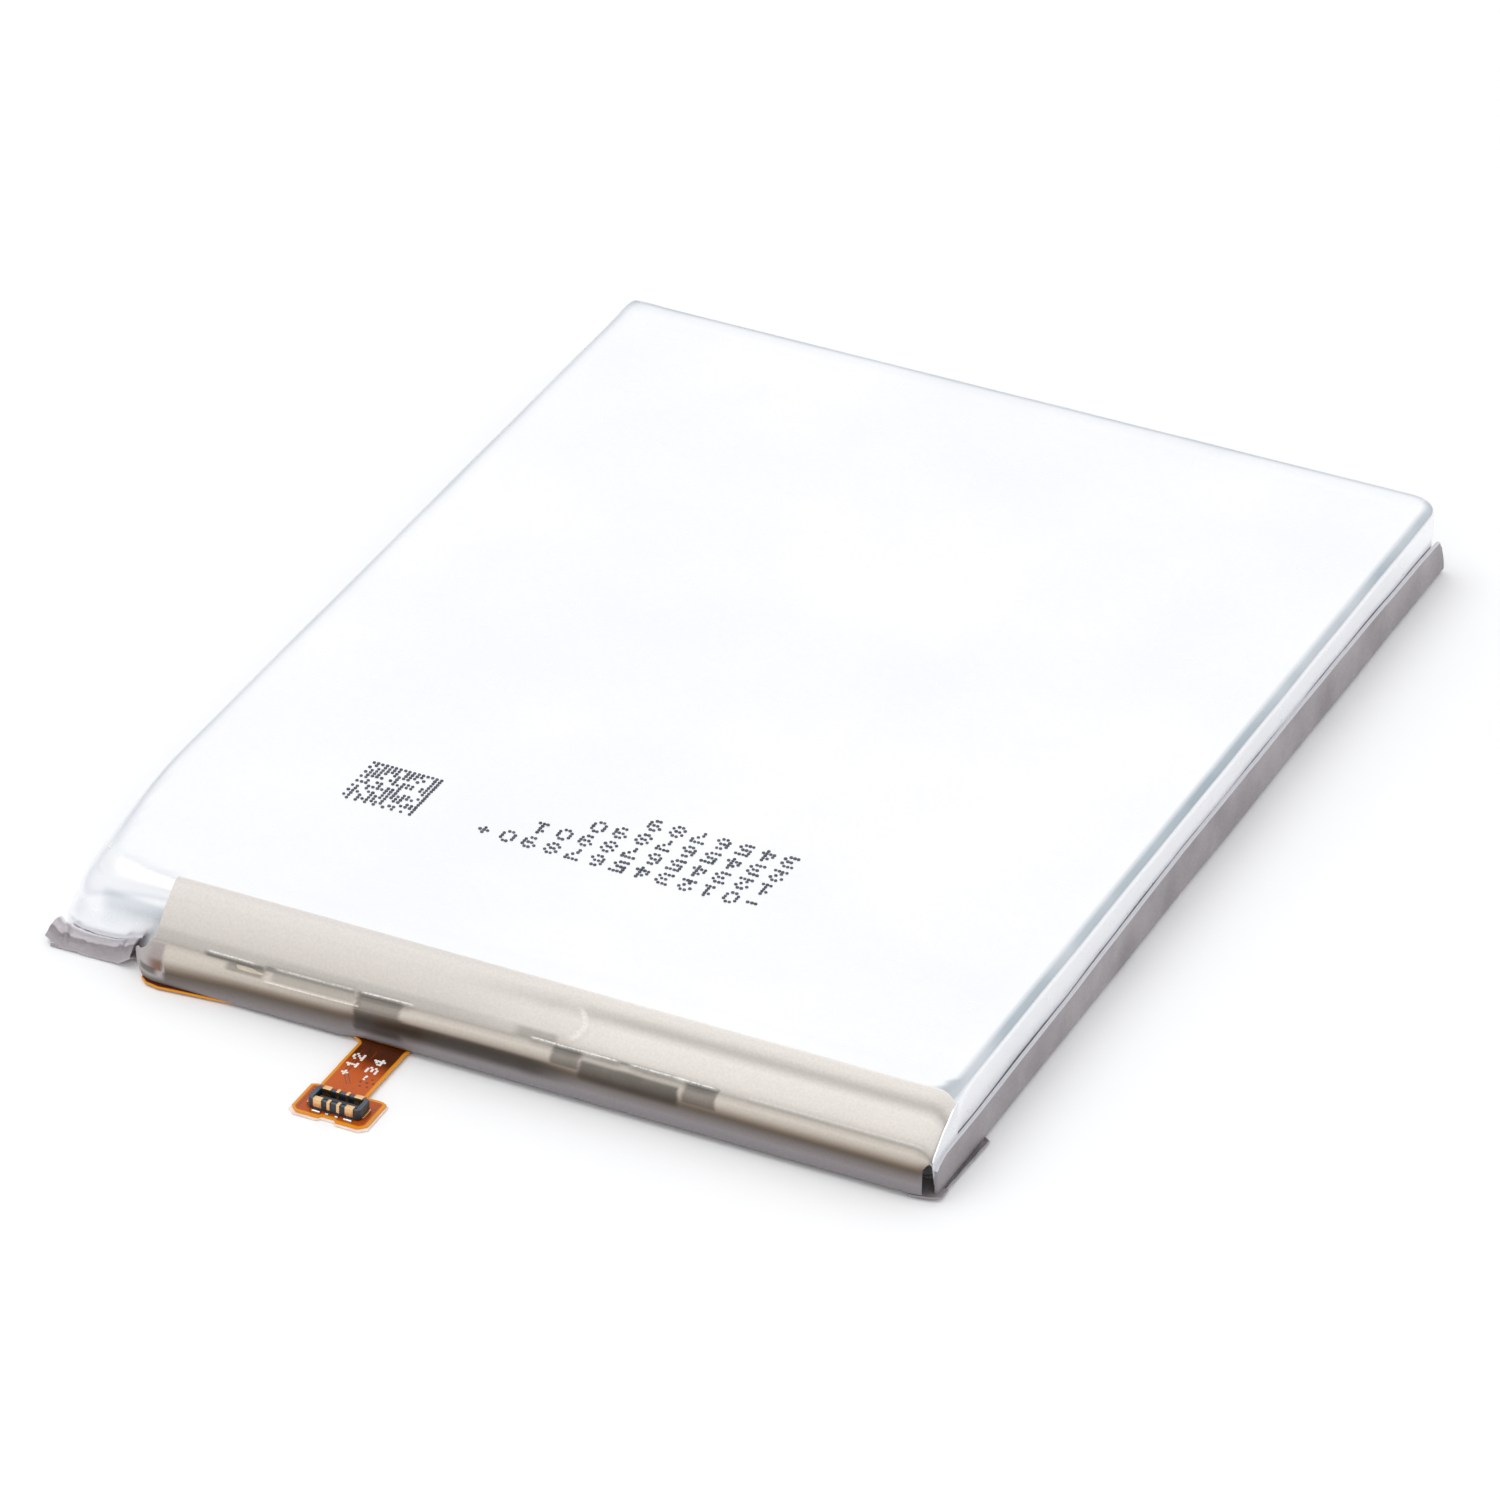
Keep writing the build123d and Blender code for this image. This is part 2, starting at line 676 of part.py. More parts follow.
with BuildPart() as connector_housing:
    with BuildSketch(Plane.XY.offset(flex_top)):
        with Locations((connector_x, connector_y)):
            RectangleRounded(housing_length, housing_width, housing_wall)
    extrude(amount=housing_height)
    with BuildSketch(Plane.XY.offset(flex_top + housing_base)):
        with Locations((connector_x, connector_y)):
            Rectangle(cavity_length, cavity_width)
            Rectangle(cavity_length - housing_wall, island_width, mode=Mode.SUBTRACT)
    extrude(amount=housing_height - housing_base, mode=Mode.SUBTRACT)
    with BuildSketch(Plane.XY.offset(flex_top + island_height)):
        with Locations((connector_x, connector_y)):
            Rectangle(cavity_length, island_width)
    extrude(amount=housing_height - island_height, mode=Mode.SUBTRACT)


def place_contacts(width, offset_x):
    """Bend one contact over each long wall of the housing, at both sides of its middle."""
    inner_y = (cavity_width - contact_thickness) / 2
    outer_y = (housing_width + contact_thickness) / 2
    top_y = (housing_width - housing_wall) / 2
    leg_align = (Align.CENTER, Align.CENTER, Align.MIN)
    leg_height = housing_top - flex_top - housing_base
    with Locations((connector_x, connector_y, 0)):
        with GridLocations(2 * offset_x, 2 * top_y, 2, 2):
            with Locations((0, 0, housing_top)):
                Box(width, housing_wall + 2 * contact_thickness, contact_thickness, align=leg_align)
        for leg_y in (inner_y, outer_y):
            with GridLocations(2 * offset_x, 2 * leg_y, 2, 2):
                with Locations((0, 0, flex_top + housing_base)):
                    Box(width, contact_thickness, leg_height, align=leg_align)


with BuildPart() as power_contacts:
    place_contacts(power_contact_width, power_contact_offset)

with BuildPart() as signal_contacts:
    place_contacts(signal_contact_width, signal_contact_offset)

with BuildPart() as solder_joints:
    for width, offset_x in (
        (power_contact_width, power_contact_offset),
        (signal_contact_width, signal_contact_offset),
    ):
        for side in (-1, 1):
            foot_y = connector_y + side * (housing_width + solder_foot_length) / 2
            with BuildSketch(Plane.XY.offset(flex_top)):
                with Locations((connector_x - offset_x, foot_y), (connector_x + offset_x, foot_y)):
                    Rectangle(width, solder_foot_length)
            extrude(amount=solder_foot_height)
            chamfer(
                solder_joints.faces()
                .group_by(Axis.Z)[-1]
                .edges()
                .filter_by(Axis.X)
                .group_by(Axis.Y)[0 if side < 0 else -1],
                length=solder_foot_height / 2,
            )

with BuildPart() as connector_anchors:
    with BuildSketch(Plane.XY.offset(flex_top)):
        for side in (-1, 1):
            with Locations((connector_x + side * (housing_length + anchor_width) / 2, connector_y)):
                Rectangle(anchor_width, cavity_width)
    extrude(amount=housing_base)

keep(pouch_cover, "pouch_cover")
keep(pouch_cup, "pouch_cup")
keep(side_seal_right, "side_seal_right")
keep(side_seal_left, "side_seal_left")
keep(terrace_seal, "terrace_seal")
keep(corner_fold, "corner_fold")
keep(anode_sheets, "anode_sheets")
keep(cathode_sheets, "cathode_sheets")
keep(separator_sheets, "separator_sheets")
keep(stack_tapes, "stack_tapes")
keep(anode_foils, "anode_foils")
keep(cathode_foils, "cathode_foils")
keep(negative_lead, "negative_lead")
keep(positive_lead, "positive_lead")
keep(lead_seal_films, "lead_seal_films")
keep(board_tape, "board_tape")
keep(circuit_board, "circuit_board")
keep(weld_plates, "weld_plates")
keep(board_fuse, "board_fuse")
keep(mosfets, "mosfets")
keep(protection_chip, "protection_chip")
keep(chip_resistors, "chip_resistors")
keep(chip_capacitors, "chip_capacitors")
keep(thermistor, "thermistor")
keep(insulating_strip, "insulating_strip")
keep(lead_cover, "lead_cover")
keep(wrap_tape, "wrap_tape")
keep(adhesive_dot, "adhesive_dot")
keep(flex_fold, "flex_fold")
keep(flex_run, "flex_run")
keep(flex_root_bend, "flex_root_bend")
keep(flex_tail, "flex_tail")
keep(flex_end_bend, "flex_end_bend")
keep(connector_flex, "connector_flex")
keep(pad_stiffener, "pad_stiffener")
keep(connector_housing, "connector_housing")
keep(power_contacts, "power_contacts")
keep(signal_contacts, "signal_contacts")
keep(solder_joints, "solder_joints")
keep(connector_anchors, "connector_anchors")
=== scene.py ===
"""Looks of a lithium polymer pouch battery pack: its laminate pouch, its taped circuit bar and its flex tail.

Frame, in metres: X is the width, Y the length and Z up. The terminals and the flex tail are at the -Y end.
Sizes in this file are in millimetres, and MM turns them into metres.
"""
import json
import math
import random

import bmesh
import bpy
from mathutils import Matrix, Vector, noise


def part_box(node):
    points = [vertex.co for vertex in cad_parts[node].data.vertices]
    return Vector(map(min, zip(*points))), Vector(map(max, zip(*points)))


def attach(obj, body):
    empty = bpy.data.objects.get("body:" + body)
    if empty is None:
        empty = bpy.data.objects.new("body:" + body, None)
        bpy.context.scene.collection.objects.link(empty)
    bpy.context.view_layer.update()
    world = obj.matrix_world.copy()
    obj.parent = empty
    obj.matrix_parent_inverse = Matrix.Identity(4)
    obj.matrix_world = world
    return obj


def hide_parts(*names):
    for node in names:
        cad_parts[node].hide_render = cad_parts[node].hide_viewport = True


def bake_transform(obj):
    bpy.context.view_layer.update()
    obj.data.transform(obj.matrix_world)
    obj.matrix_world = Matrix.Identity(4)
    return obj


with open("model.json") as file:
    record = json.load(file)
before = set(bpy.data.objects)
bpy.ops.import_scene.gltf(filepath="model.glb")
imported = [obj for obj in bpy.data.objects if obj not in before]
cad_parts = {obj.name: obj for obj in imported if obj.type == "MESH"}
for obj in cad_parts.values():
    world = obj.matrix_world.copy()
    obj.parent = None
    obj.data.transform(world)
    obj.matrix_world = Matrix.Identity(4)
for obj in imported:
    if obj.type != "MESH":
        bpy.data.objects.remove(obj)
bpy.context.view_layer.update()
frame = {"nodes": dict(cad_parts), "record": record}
MM = 0.001


# ---- helpers: numbers ----
def box_mm(node):
    """Lowest and highest corner of a CAD node, in millimetres."""
    low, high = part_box(node)
    return low / MM, high / MM


def smooth(low, high, value):
    """0 below low, 1 above high, and a smooth rise between them."""
    t = min(1.0, max(0.0, (value - low) / (high - low)))
    return t * t * (3 - 2 * t)


def band(low, high, soft, value):
    """1 between low and high, falling to 0 over soft beyond each."""
    return smooth(low - soft, low, value) * (1 - smooth(high, high + soft, value))


def ripple(x, y, size, seed=0.0):
    """Smooth noise from -1 to 1 whose bumps are about size apart."""
    return noise.noise(Vector((x / size + seed, y / size - seed, seed * 1.7)))


def rounded_path(corners, radii, arc_steps=8):
    """Points along straight runs joined by arcs: one radius for each inner corner."""
    points = [Vector(corners[0])]
    for before, corner, after, radius in zip(corners, corners[1:], corners[2:], radii):
        corner = Vector(corner)
        back = (Vector(before) - corner).normalized()
        ahead = (Vector(after) - corner).normalized()
        half = back.angle(ahead) / 2
        centre = corner + (back + ahead).normalized() * radius / math.sin(half)
        start = corner + back * radius / math.tan(half) - centre
        sweep = math.pi - 2 * half
        turn = 1 if back.y * ahead.x - back.x * ahead.y > 0 else -1
        for step in range(arc_steps + 1):
            points.append(centre + Matrix.Rotation(turn * sweep * step / arc_steps, 2) @ start)
    points.append(Vector(corners[-1]))
    return points


def walk(points, share):
    """The point at this share of a path's length, and the direction across the path there."""
    left = share * sum((b - a).length for a, b in zip(points, points[1:]))
    for a, b in zip(points, points[1:]):
        length = (b - a).length
        if left <= length or b is points[-1]:
            ahead = (b - a) / length
            return a + ahead * left, Vector((-ahead.y, ahead.x))
        left -= length


def along_line(line, x):
    """The height of a line of points at x."""
    for (x0, z0), (x1, z1) in zip(line, line[1:]):
        if x <= x1:
            return z0 + (z1 - z0) * (x - x0) / (x1 - x0)
    return line[-1][1]


# ---- helpers: materials ----
def linear(hex_colour):
    """An sRGB hex colour as the linear colour that the shaders use."""
    parts = [int(hex_colour[i : i + 2], 16) / 255 for i in (1, 3, 5)]
    return [p / 12.92 if p <= 0.04045 else ((p + 0.055) / 1.055) ** 2.4 for p in parts] + [1.0]


def per_mm(size):
    """The scale that makes a pattern repeat about every size millimetres on object coordinates."""
    return 1 / (size * MM)


def add(tree, kind, wires=None, stops=None, **settings):
    """Add one node: its settings, its colour stops, and each input's value or the output wired to it."""
    made = tree.nodes.new("ShaderNode" + kind)
    for name, value in settings.items():
        setattr(made, name, value)
    for name, value in (wires or {}).items():
        if isinstance(value, bpy.types.NodeSocket):
            tree.links.new(value, made.inputs[name])
        else:
            made.inputs[name].default_value = value
    if stops:
        ends = made.color_ramp.elements
        ends[0].position, ends[0].color = stops[0][0], linear(stops[0][1])
        ends[1].position, ends[1].color = stops[-1][0], linear(stops[-1][1])
        for place, colour in stops[1:-1]:
            ends.new(place).color = linear(colour)
    return made


def surface(name, dark, light, patch, grain, rough, bump, shader=None, wear=None):
    """A material that drifts between two tints over patches, with a finer grain in its gloss and its relief.

    patch and grain are sizes in millimetres, rough is the lowest and highest roughness, and bump is the
    grain's depth in millimetres. shader holds the shader's own values, and wear is the tint of worn edges.
    """
    material = bpy.data.materials.new(name)
    material.use_nodes = True
    tree = material.node_tree
    tree.nodes.clear()
    place = add(tree, "TexCoord").outputs["Object"]
    drift = add(tree, "TexNoise", {"Vector": place, "Scale": per_mm(patch), "Detail": 4.0})
    fine = add(tree, "TexNoise", {"Vector": place, "Scale": per_mm(grain), "Detail": 3.0})
    tint = add(tree, "ValToRGB", {"Fac": drift.outputs["Fac"]}, stops=[(0.35, dark), (0.65, light)])
    colour = tint.outputs["Color"]
    speck = add(
        tree, "MapRange", {"Value": fine.outputs["Fac"], "From Min": 0.3, "From Max": 0.7, "To Max": 0.12}
    )
    colour = add(
        tree, "Mix", {0: speck.outputs["Result"], 6: colour, 7: linear(dark)}, data_type="RGBA"
    ).outputs[2]
    if wear:
        edge = add(tree, "NewGeometry").outputs["Pointiness"]
        worn = add(tree, "MapRange", {"Value": edge, "From Min": 0.54, "From Max": 0.62, "To Max": 0.8})
        colour = add(
            tree, "Mix", {0: worn.outputs["Result"], 6: colour, 7: linear(wear)}, data_type="RGBA"
        ).outputs[2]
    gloss = add(
        tree,
        "MapRange",
        {
            "Value": fine.outputs["Fac"], "From Min": 0.3, "From Max": 0.7,
            "To Min": rough[0], "To Max": rough[1],
        },
    )
    relief = add(tree, "Bump", {"Height": fine.outputs["Fac"], "Strength": 0.6, "Distance": bump * MM})
    wires = {"Base Color": colour, "Roughness": gloss.outputs["Result"], "Normal": relief.outputs["Normal"]}
    wires.update(shader or {})
    body = add(tree, "BsdfPrincipled", wires)
    add(tree, "OutputMaterial", {"Surface": body.outputs["BSDF"]})
    return material


def nodes_of(material):
    """What a finish changes in a surface material: its tree, its shader and the colour wired to it."""
    tree = material.node_tree
    body = next(n for n in tree.nodes if n.type == "BSDF_PRINCIPLED")
    return tree, body, body.inputs["Base Color"].links[0].from_socket


# ---- helpers: pieces ----
def piece(name, bm, body, material, nodes=(), smooth_faces=True):
    """Make an object of a mesh, hide the CAD nodes it stands for, and give it its CAD body when body is a
    name.
    """
    mesh = bpy.data.meshes.new(name)
    bm.to_mesh(mesh)
    bm.free()
    mesh.materials.append(material)
    if smooth_faces:
        mesh.set_sharp_from_angle(angle=math.radians(50))
    else:
        mesh.shade_flat()
    made = bpy.data.objects.new(name, mesh)
    bpy.context.scene.collection.objects.link(made)
    if nodes:
        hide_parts(*nodes)
    if isinstance(body, str):
        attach(made, body)
    else:
        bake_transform(made)
    return made


def thicken(bm, thickness):
    """Close an open skin with an inner skin, thickness millimetres behind its faces."""
    bm.normal_update()
    facing = bm.verts.layers.float_vector.new("facing")
    for vert in bm.verts:
        vert[facing] = vert.normal
    made = bmesh.ops.extrude_face_region(bm, geom=bm.faces[:], use_keep_orig=True)
    for part in made["geom"]:
        if isinstance(part, bmesh.types.BMVert):
            part.co -= part[facing] * thickness * MM
    bm.verts.layers.float_vector.remove(facing)
    bmesh.ops.recalc_face_normals(bm, faces=bm.faces[:])


def sheet(columns, rows, place, thickness, **layers):
    """A thin closed sheet: place(u, v) is its outer face in millimetres.

    The thickness is laid on the side that u cross v points away from, or towards if it is negative. Each
    layer is a function of u and v whose value is stored on the points under its name, for materials to read.
    Each point also keeps its v, as "across".
    """
    bm = bmesh.new()
    layers["across"] = lambda u, v: v
    stored = {name: bm.verts.layers.float.new(name) for name in layers}
    bmesh.ops.create_grid(bm, x_segments=columns, y_segments=rows, size=0.5)
    for vert in bm.verts:
        u, v = vert.co.x + 0.5, vert.co.y + 0.5
        for name, value_at in layers.items():
            vert[stored[name]] = value_at(u, v)
        vert.co = Vector(place(u, v)) * MM
    thicken(bm, thickness)
    return bm


def softened(node, radius, segments=2):
    """A copy of a CAD node with its corners joined and its sharp edges rounded."""
    bm = bmesh.new()
    bm.from_mesh(frame["nodes"][node].data)
    bmesh.ops.remove_doubles(bm, verts=bm.verts[:], dist=0.001 * MM)
    bmesh.ops.dissolve_limit(bm, angle_limit=math.radians(2), verts=bm.verts[:], edges=bm.edges[:])
    sharp = [e for e in bm.edges if e.is_manifold and e.calc_face_angle(0) > math.radians(35)]
    bmesh.ops.bevel(
        bm, geom=sharp, offset=radius * MM, segments=segments, profile=0.5, affect="EDGES", material=-1,
        clamp_overlap=True,
    )
    bmesh.ops.triangulate(bm, faces=[f for f in bm.faces if len(f.verts) > 4])
    return bm


# ---- camera ----
CAMERA_AZIMUTH, CAMERA_ELEVATION, CAMERA_ROLL = (math.radians(a) for a in (24.67, 32.14, 1.27))
CAMERA_DISTANCE = 574.9
CAMERA_TARGET = Vector((0.36, -4.85, 2.5))
camera_data = bpy.data.cameras.new("camera")
camera_data.sensor_width = 36.0
camera_data.lens = 221.64
camera_data.clip_start = 0.01
camera_data.clip_end = 20.0
camera = bpy.data.objects.new("camera", camera_data)
bpy.context.scene.collection.objects.link(camera)
bpy.context.scene.camera = camera
back = Vector(
    (
        math.sin(CAMERA_AZIMUTH) * math.cos(CAMERA_ELEVATION),
        -math.cos(CAMERA_AZIMUTH) * math.cos(CAMERA_ELEVATION),
        math.sin(CAMERA_ELEVATION),
    )
)
right = (-back).cross(Vector((0, 0, 1))).normalized()
up = right.cross(-back)
tilted_right = right * math.cos(CAMERA_ROLL) + up * math.sin(CAMERA_ROLL)
tilted_up = up * math.cos(CAMERA_ROLL) - right * math.sin(CAMERA_ROLL)
camera.matrix_world = Matrix.Translation((CAMERA_TARGET + back * CAMERA_DISTANCE) * MM) @ Matrix(
    (tilted_right, tilted_up, back)
).transposed().to_4x4()

# ---- light ----
bpy.context.scene.view_settings.view_transform = "Standard"


def softbox(name, place, look_at, width, height, power, tint):
    """A large soft light that faces look_at."""
    data = bpy.data.lights.new(name, "AREA")
    data.shape = "RECTANGLE"
    data.size, data.size_y, data.energy = width, height, power
    data.color = linear(tint)[:3]
    lamp = bpy.data.objects.new(name, data)
    bpy.context.scene.collection.objects.link(lamp)
    lamp.location = place
    lamp.rotation_euler = (Vector(look_at) - Vector(place)).to_track_quat("-Z", "Y").to_euler()
    return lamp


middle = CAMERA_TARGET * MM
softbox("back_softbox", middle + Vector((-0.25, 0.72, 0.50)), middle, 0.85, 0.55, 0.16, "#ffffff")
softbox("top_softbox", middle + Vector((-0.30, -0.10, 0.75)), middle, 0.50, 0.50, 1.3, "#ffffff")
softbox("front_fill", middle + Vector((0.10, -0.70, 0.40)), middle, 0.60, 0.35, 0.40, "#fffaf4")

world = bpy.data.worlds.new("studio")
world.use_nodes = True
bpy.context.scene.world = world
sky = world.node_tree
sky.nodes.clear()
sky_height = add(sky, "SeparateXYZ", {"Vector": add(sky, "TexCoord").outputs["Generated"]})
sky_colour = add(
    sky,
    "ValToRGB",
    {"Fac": sky_height.outputs["Z"]},
    stops=[(0.0, "#e0e4e8"), (0.12, "#d0d6dc"), (0.28, "#fcfcfe"), (0.62, "#ffffff"), (0.85, "#e6e8ea")],
)
sky_light = add(sky, "Background", {"Color": sky_colour.outputs["Color"], "Strength": 1.0})
add(sky, "OutputWorld", {"Surface": sky_light.outputs["Background"]})

# ---- materials ----
# Pouch laminate: nylon film on 40 micron aluminium, cold formed. Its face is a satin silver that mirrors
# broad lights softly, with fine draw lines along the length and the electrode stack's outline pressed
# through it. The grey-blue tint on its shoulders, along its back edge and at the front left corner is a
# painted reflection of the darker horizon.
bright_laminate = surface(
    "nylon_faced_aluminium_laminate",
    "#f3f4f7",
    "#f8f8fb",
    patch=14.0,
    grain=0.35,
    rough=(0.27, 0.35),
    bump=0.0012,
    shader={"Metallic": 0.85, "Coat Weight": 0.25, "Coat Roughness": 0.30, "Coat IOR": 1.53},
)
tree, body, colour = nodes_of(bright_laminate)
STACK_HALF_WIDTH, STACK_BACK, STACK_FRONT = 26.4, 36.6, -36.0
at = add(tree, "SeparateXYZ", {"Vector": add(tree, "TexCoord").outputs["Object"]})
steps = []
for axis, low, high in (("X", -STACK_HALF_WIDTH, STACK_HALF_WIDTH), ("Y", STACK_FRONT, STACK_BACK)):
    centred = add(tree, "Math", {0: at.outputs[axis], 1: (low + high) / 2 * MM}, operation="SUBTRACT")
    away = add(tree, "Math", {0: centred.outputs[0]}, operation="ABSOLUTE")
    reach = (high - low) / 2
    steps.append(
        add(
            tree,
            "MapRange",
            {"Value": away.outputs[0], "From Min": (reach - 0.3) * MM, "From Max": (reach + 0.5) * MM},
            interpolation_type="SMOOTHSTEP",
        ).outputs["Result"]
    )
outline = add(tree, "Math", {0: steps[0], 1: steps[1]}, operation="MAXIMUM")
stretched = add(
    tree, "Mapping", {"Vector": add(tree, "TexCoord").outputs["Object"], "Scale": (1.0, 0.04, 1.0)}
)
draw_lines = add(tree, "TexNoise", {"Vector": stretched.outputs[0], "Scale": per_mm(0.8), "Detail": 5.0})
swell = add(
    tree, "TexNoise",
    {"Vector": add(tree, "TexCoord").outputs["Object"], "Scale": per_mm(9.0), "Detail": 2.0}
)
grain_relief = body.inputs["Normal"].links[0].from_socket
line_relief = add(
    tree, "Bump", {
        "Height": draw_lines.outputs["Fac"], "Strength": 0.5, "Distance": 0.0016 * MM,
        "Normal": grain_relief
    }
)
step_relief = add(
    tree, "Bump", {
        "Height": outline.outputs[0], "Strength": 0.8, "Distance": -0.012 * MM,
        "Normal": line_relief.outputs[0]
    }
)
swell_relief = add(
    tree, "Bump", {
        "Height": swell.outputs["Fac"], "Strength": 0.6, "Distance": 0.005 * MM,
        "Normal": step_relief.outputs[0]
    }
)
tree.links.new(swell_relief.outputs[0], body.inputs["Normal"])
# Painted reflection: the grey-blue tint of the darker horizon, put on where the shoulder layer is set and
# made patchy by the slack swells.
painted_reflection_share = add(tree, "Attribute", attribute_name="shoulder").outputs["Fac"]
reflection_patchiness = add(
    tree, "MapRange", {"Value": swell.outputs["Fac"], "From Min": 0.3, "From Max": 0.7, "To Min": 0.55}
)
patchy_painted_reflection = add(tree, "Math", {0: painted_reflection_share, 1: reflection_patchiness.outputs["Result"]}, operation="MULTIPLY")
painted_reflection_colour = add(tree, "Mix", {0: patchy_painted_reflection.outputs[0], 6: colour, 7: linear("#a9b5bd")}, data_type="RGBA")
tree.links.new(painted_reflection_colour.outputs[2], body.inputs["Base Color"])

# The laminate's sealed margins, folded and trimmed: the aluminium is covered on both sides by pressed
# polypropylene, so they are a matte grey with a warm cast, a fine press grain and a bright line where the
# blade cut the foil. Their grey is partly painted shade: the margins face away from the lights, and their
# darker look is put into the colour of the same laminate as the bright cup.
matte_laminate = surface(
    "pressed_and_shaded_laminate_margin",
    "#918b8e",
    "#aaa4a7",
    patch=5.0,
    grain=0.16,
    rough=(0.42, 0.62),
    bump=0.012,
    shader={"Metallic": 0.35},
)
# The same margin on the pieces that keep their distance to the cut: the cut itself shows bare foil.
trimmed_laminate = matte_laminate.copy()
trimmed_laminate.name = "pressed_and_shaded_laminate_trimmed"
tree, body, colour = nodes_of(trimmed_laminate)
height = add(tree, "Attribute", attribute_name="across").outputs["Fac"]
cut = add(tree, "MapRange", {"Value": height, "From Min": 0.955, "From Max": 0.99, "To Max": 0.85})
bare = add(tree, "Mix", {0: cut.outputs["Result"], 6: colour, 7: linear("#e6e6ea")}, data_type="RGBA")
tree.links.new(bare.outputs[2], body.inputs["Base Color"])

# The folded corner: the margin creased over itself, with the foil's bright inner face showing above the fold.
creased_laminate = matte_laminate.copy()
creased_laminate.name = "pressed_and_shaded_laminate_creased"
tree, body, colour = nodes_of(creased_laminate)
height = add(tree, "Attribute", attribute_name="across").outputs["Fac"]
facing = add(
    tree,
    "ValToRGB",
    {"Fac": height},
    stops=[
        (0.0, "#fafafc"), (0.07, "#e4e3e7"), (0.14, "#bcb6ba"), (0.40, "#c6bfc3"), (0.46, "#827b80"),
        (0.78, "#a69fa3"), (0.82, "#d0cccf")
    ],
)
creased = add(tree, "Mix", {0: 0.75, 6: colour, 7: facing.outputs["Color"]}, data_type="RGBA")
tree.links.new(creased.outputs[2], body.inputs["Base Color"])

# Wrapping tape: 50 micron translucent acrylic tape with a beige cast. It is milky where it bridges a gap
# and darker where its adhesive wets a dark part under it, and it has a fine cast grain. Its bands of
# tint across the bar hold painted shade: a shoulder shade behind the crest, shadow along the crest and under
# the rounded nose, and a darker front face.
translucent_tape = surface(
    "translucent_acrylic_tape",
    "#d9d1c8",
    "#e6dfd6",
    patch=3.5,
    grain=0.22,
    rough=(0.30, 0.46),
    bump=0.010,
    shader={"Coat Weight": 0.10, "Coat Roughness": 0.22, "Specular IOR Level": 0.30, "Alpha": 0.97},
)
tree, body, colour = nodes_of(translucent_tape)
# Tints down the bar's rounded nose and front face: the beige strip under the tape, then a painted shadow band
# under the nose, then the front face, partly the folded foil behind the tape and partly painted shade.
BAR_TINTS_AND_SHADE = [
    (0.460, "#beb5ab"),
    (0.490, "#ccc3b7"),
    (0.520, "#beb4a8"),
    (0.540, "#aca095"),
    (0.560, "#948679"),
    (0.580, "#756556"),
    (0.600, "#5f5246"),
    (0.620, "#655c54"),
    (0.655, "#7b7371"),
    (0.700, "#8c8688"),
    (0.760, "#868083"),
    (1.000, "#868083"),
]
tone = add(tree, "Attribute", attribute_name="tone").outputs["Fac"]
# Left of the middle the slope darkens towards the crest: painted shade.
left_tints_and_shade = add(
    tree,
    "ValToRGB",
    {"Fac": tone},
    stops=[
        (0.00, "#e2ded9"),
        (0.02, "#ddd7d1"),
        (0.12, "#dfd9d2"),
        (0.20, "#d9d3cb"),
        (0.28, "#d6cfc8"),
        (0.34, "#cfc9c1"),
        (0.37, "#beb8b1"),
        (0.40, "#bab4ac"),
        (0.42, "#b3ada5"),
        (0.44, "#a8a098"),
    ]
    + BAR_TINTS_AND_SHADE,
)
# Right of the middle: a bright line on the back edge, a painted highlight, and a painted shoulder shade a
# little in front of it.
right_tints_and_shade = add(
    tree,
    "ValToRGB",
    {"Fac": tone},
    stops=[
        (0.00, "#f4f0eb"),
        (0.02, "#e8e2db"),
        (0.06, "#e3dcd5"),
        (0.10, "#dad3cc"),
        (0.125, "#cac4bc"),
        (0.15, "#bfb9b1"),
        (0.17, "#c5bfb7"),
        (0.20, "#dad4cc"),
        (0.23, "#e7e1d9"),
        (0.34, "#e1dbd4"),
        (0.38, "#dbd4cc"),
        (0.415, "#c6c0b8"),
        (0.44, "#a9a49b"),
    ]
    + BAR_TINTS_AND_SHADE,
)
place_x = add(tree, "SeparateXYZ", {"Vector": add(tree, "TexCoord").outputs["Object"]}).outputs["X"]
rightward = add(tree, "MapRange", {"Value": place_x, "From Min": -3 * MM, "From Max": 9 * MM})
tints_and_shade = add(
    tree,
    "Mix",
    {0: rightward.outputs["Result"], 6: left_tints_and_shade.outputs["Color"], 7: right_tints_and_shade.outputs["Color"]},
    data_type="RGBA",
)
tint = add(tree, "Attribute", attribute_name="tint").outputs["Fac"]
milky = add(tree, "MapRange", {"Value": tint, "From Max": 0.4})
overhang = add(
    tree, "Mix", {0: milky.outputs["Result"], 6: tints_and_shade.outputs[2], 7: linear("#afa9a7")}, data_type="RGBA"
)
reddish = add(tree, "MapRange", {"Value": tint, "From Min": 0.4})
beige = add(
    tree, "Mix", {0: reddish.outputs["Result"], 6: overhang.outputs[2], 7: linear("#7b5444")},
    data_type="RGBA"
)
# The darkened share: partly dark parts seen through the tape, partly painted shadow.
stain = add(tree, "Attribute", attribute_name="stain").outputs["Fac"]
cloud = add(
    tree, "TexNoise",
    {"Vector": add(tree, "TexCoord").outputs["Object"], "Scale": per_mm(1.6), "Detail": 3.0}
)
patchy = add(
    tree, "MapRange", {"Value": cloud.outputs["Fac"], "From Min": 0.3, "From Max": 0.7, "To Min": 0.90}
)
dark_share = add(tree, "Math", {0: stain, 1: patchy.outputs["Result"]}, operation="MULTIPLY")
wetted_and_shaded = add(tree, "Mix", {0: dark_share.outputs[0], 6: beige.outputs[2], 7: linear("#271f17")}, data_type="RGBA")
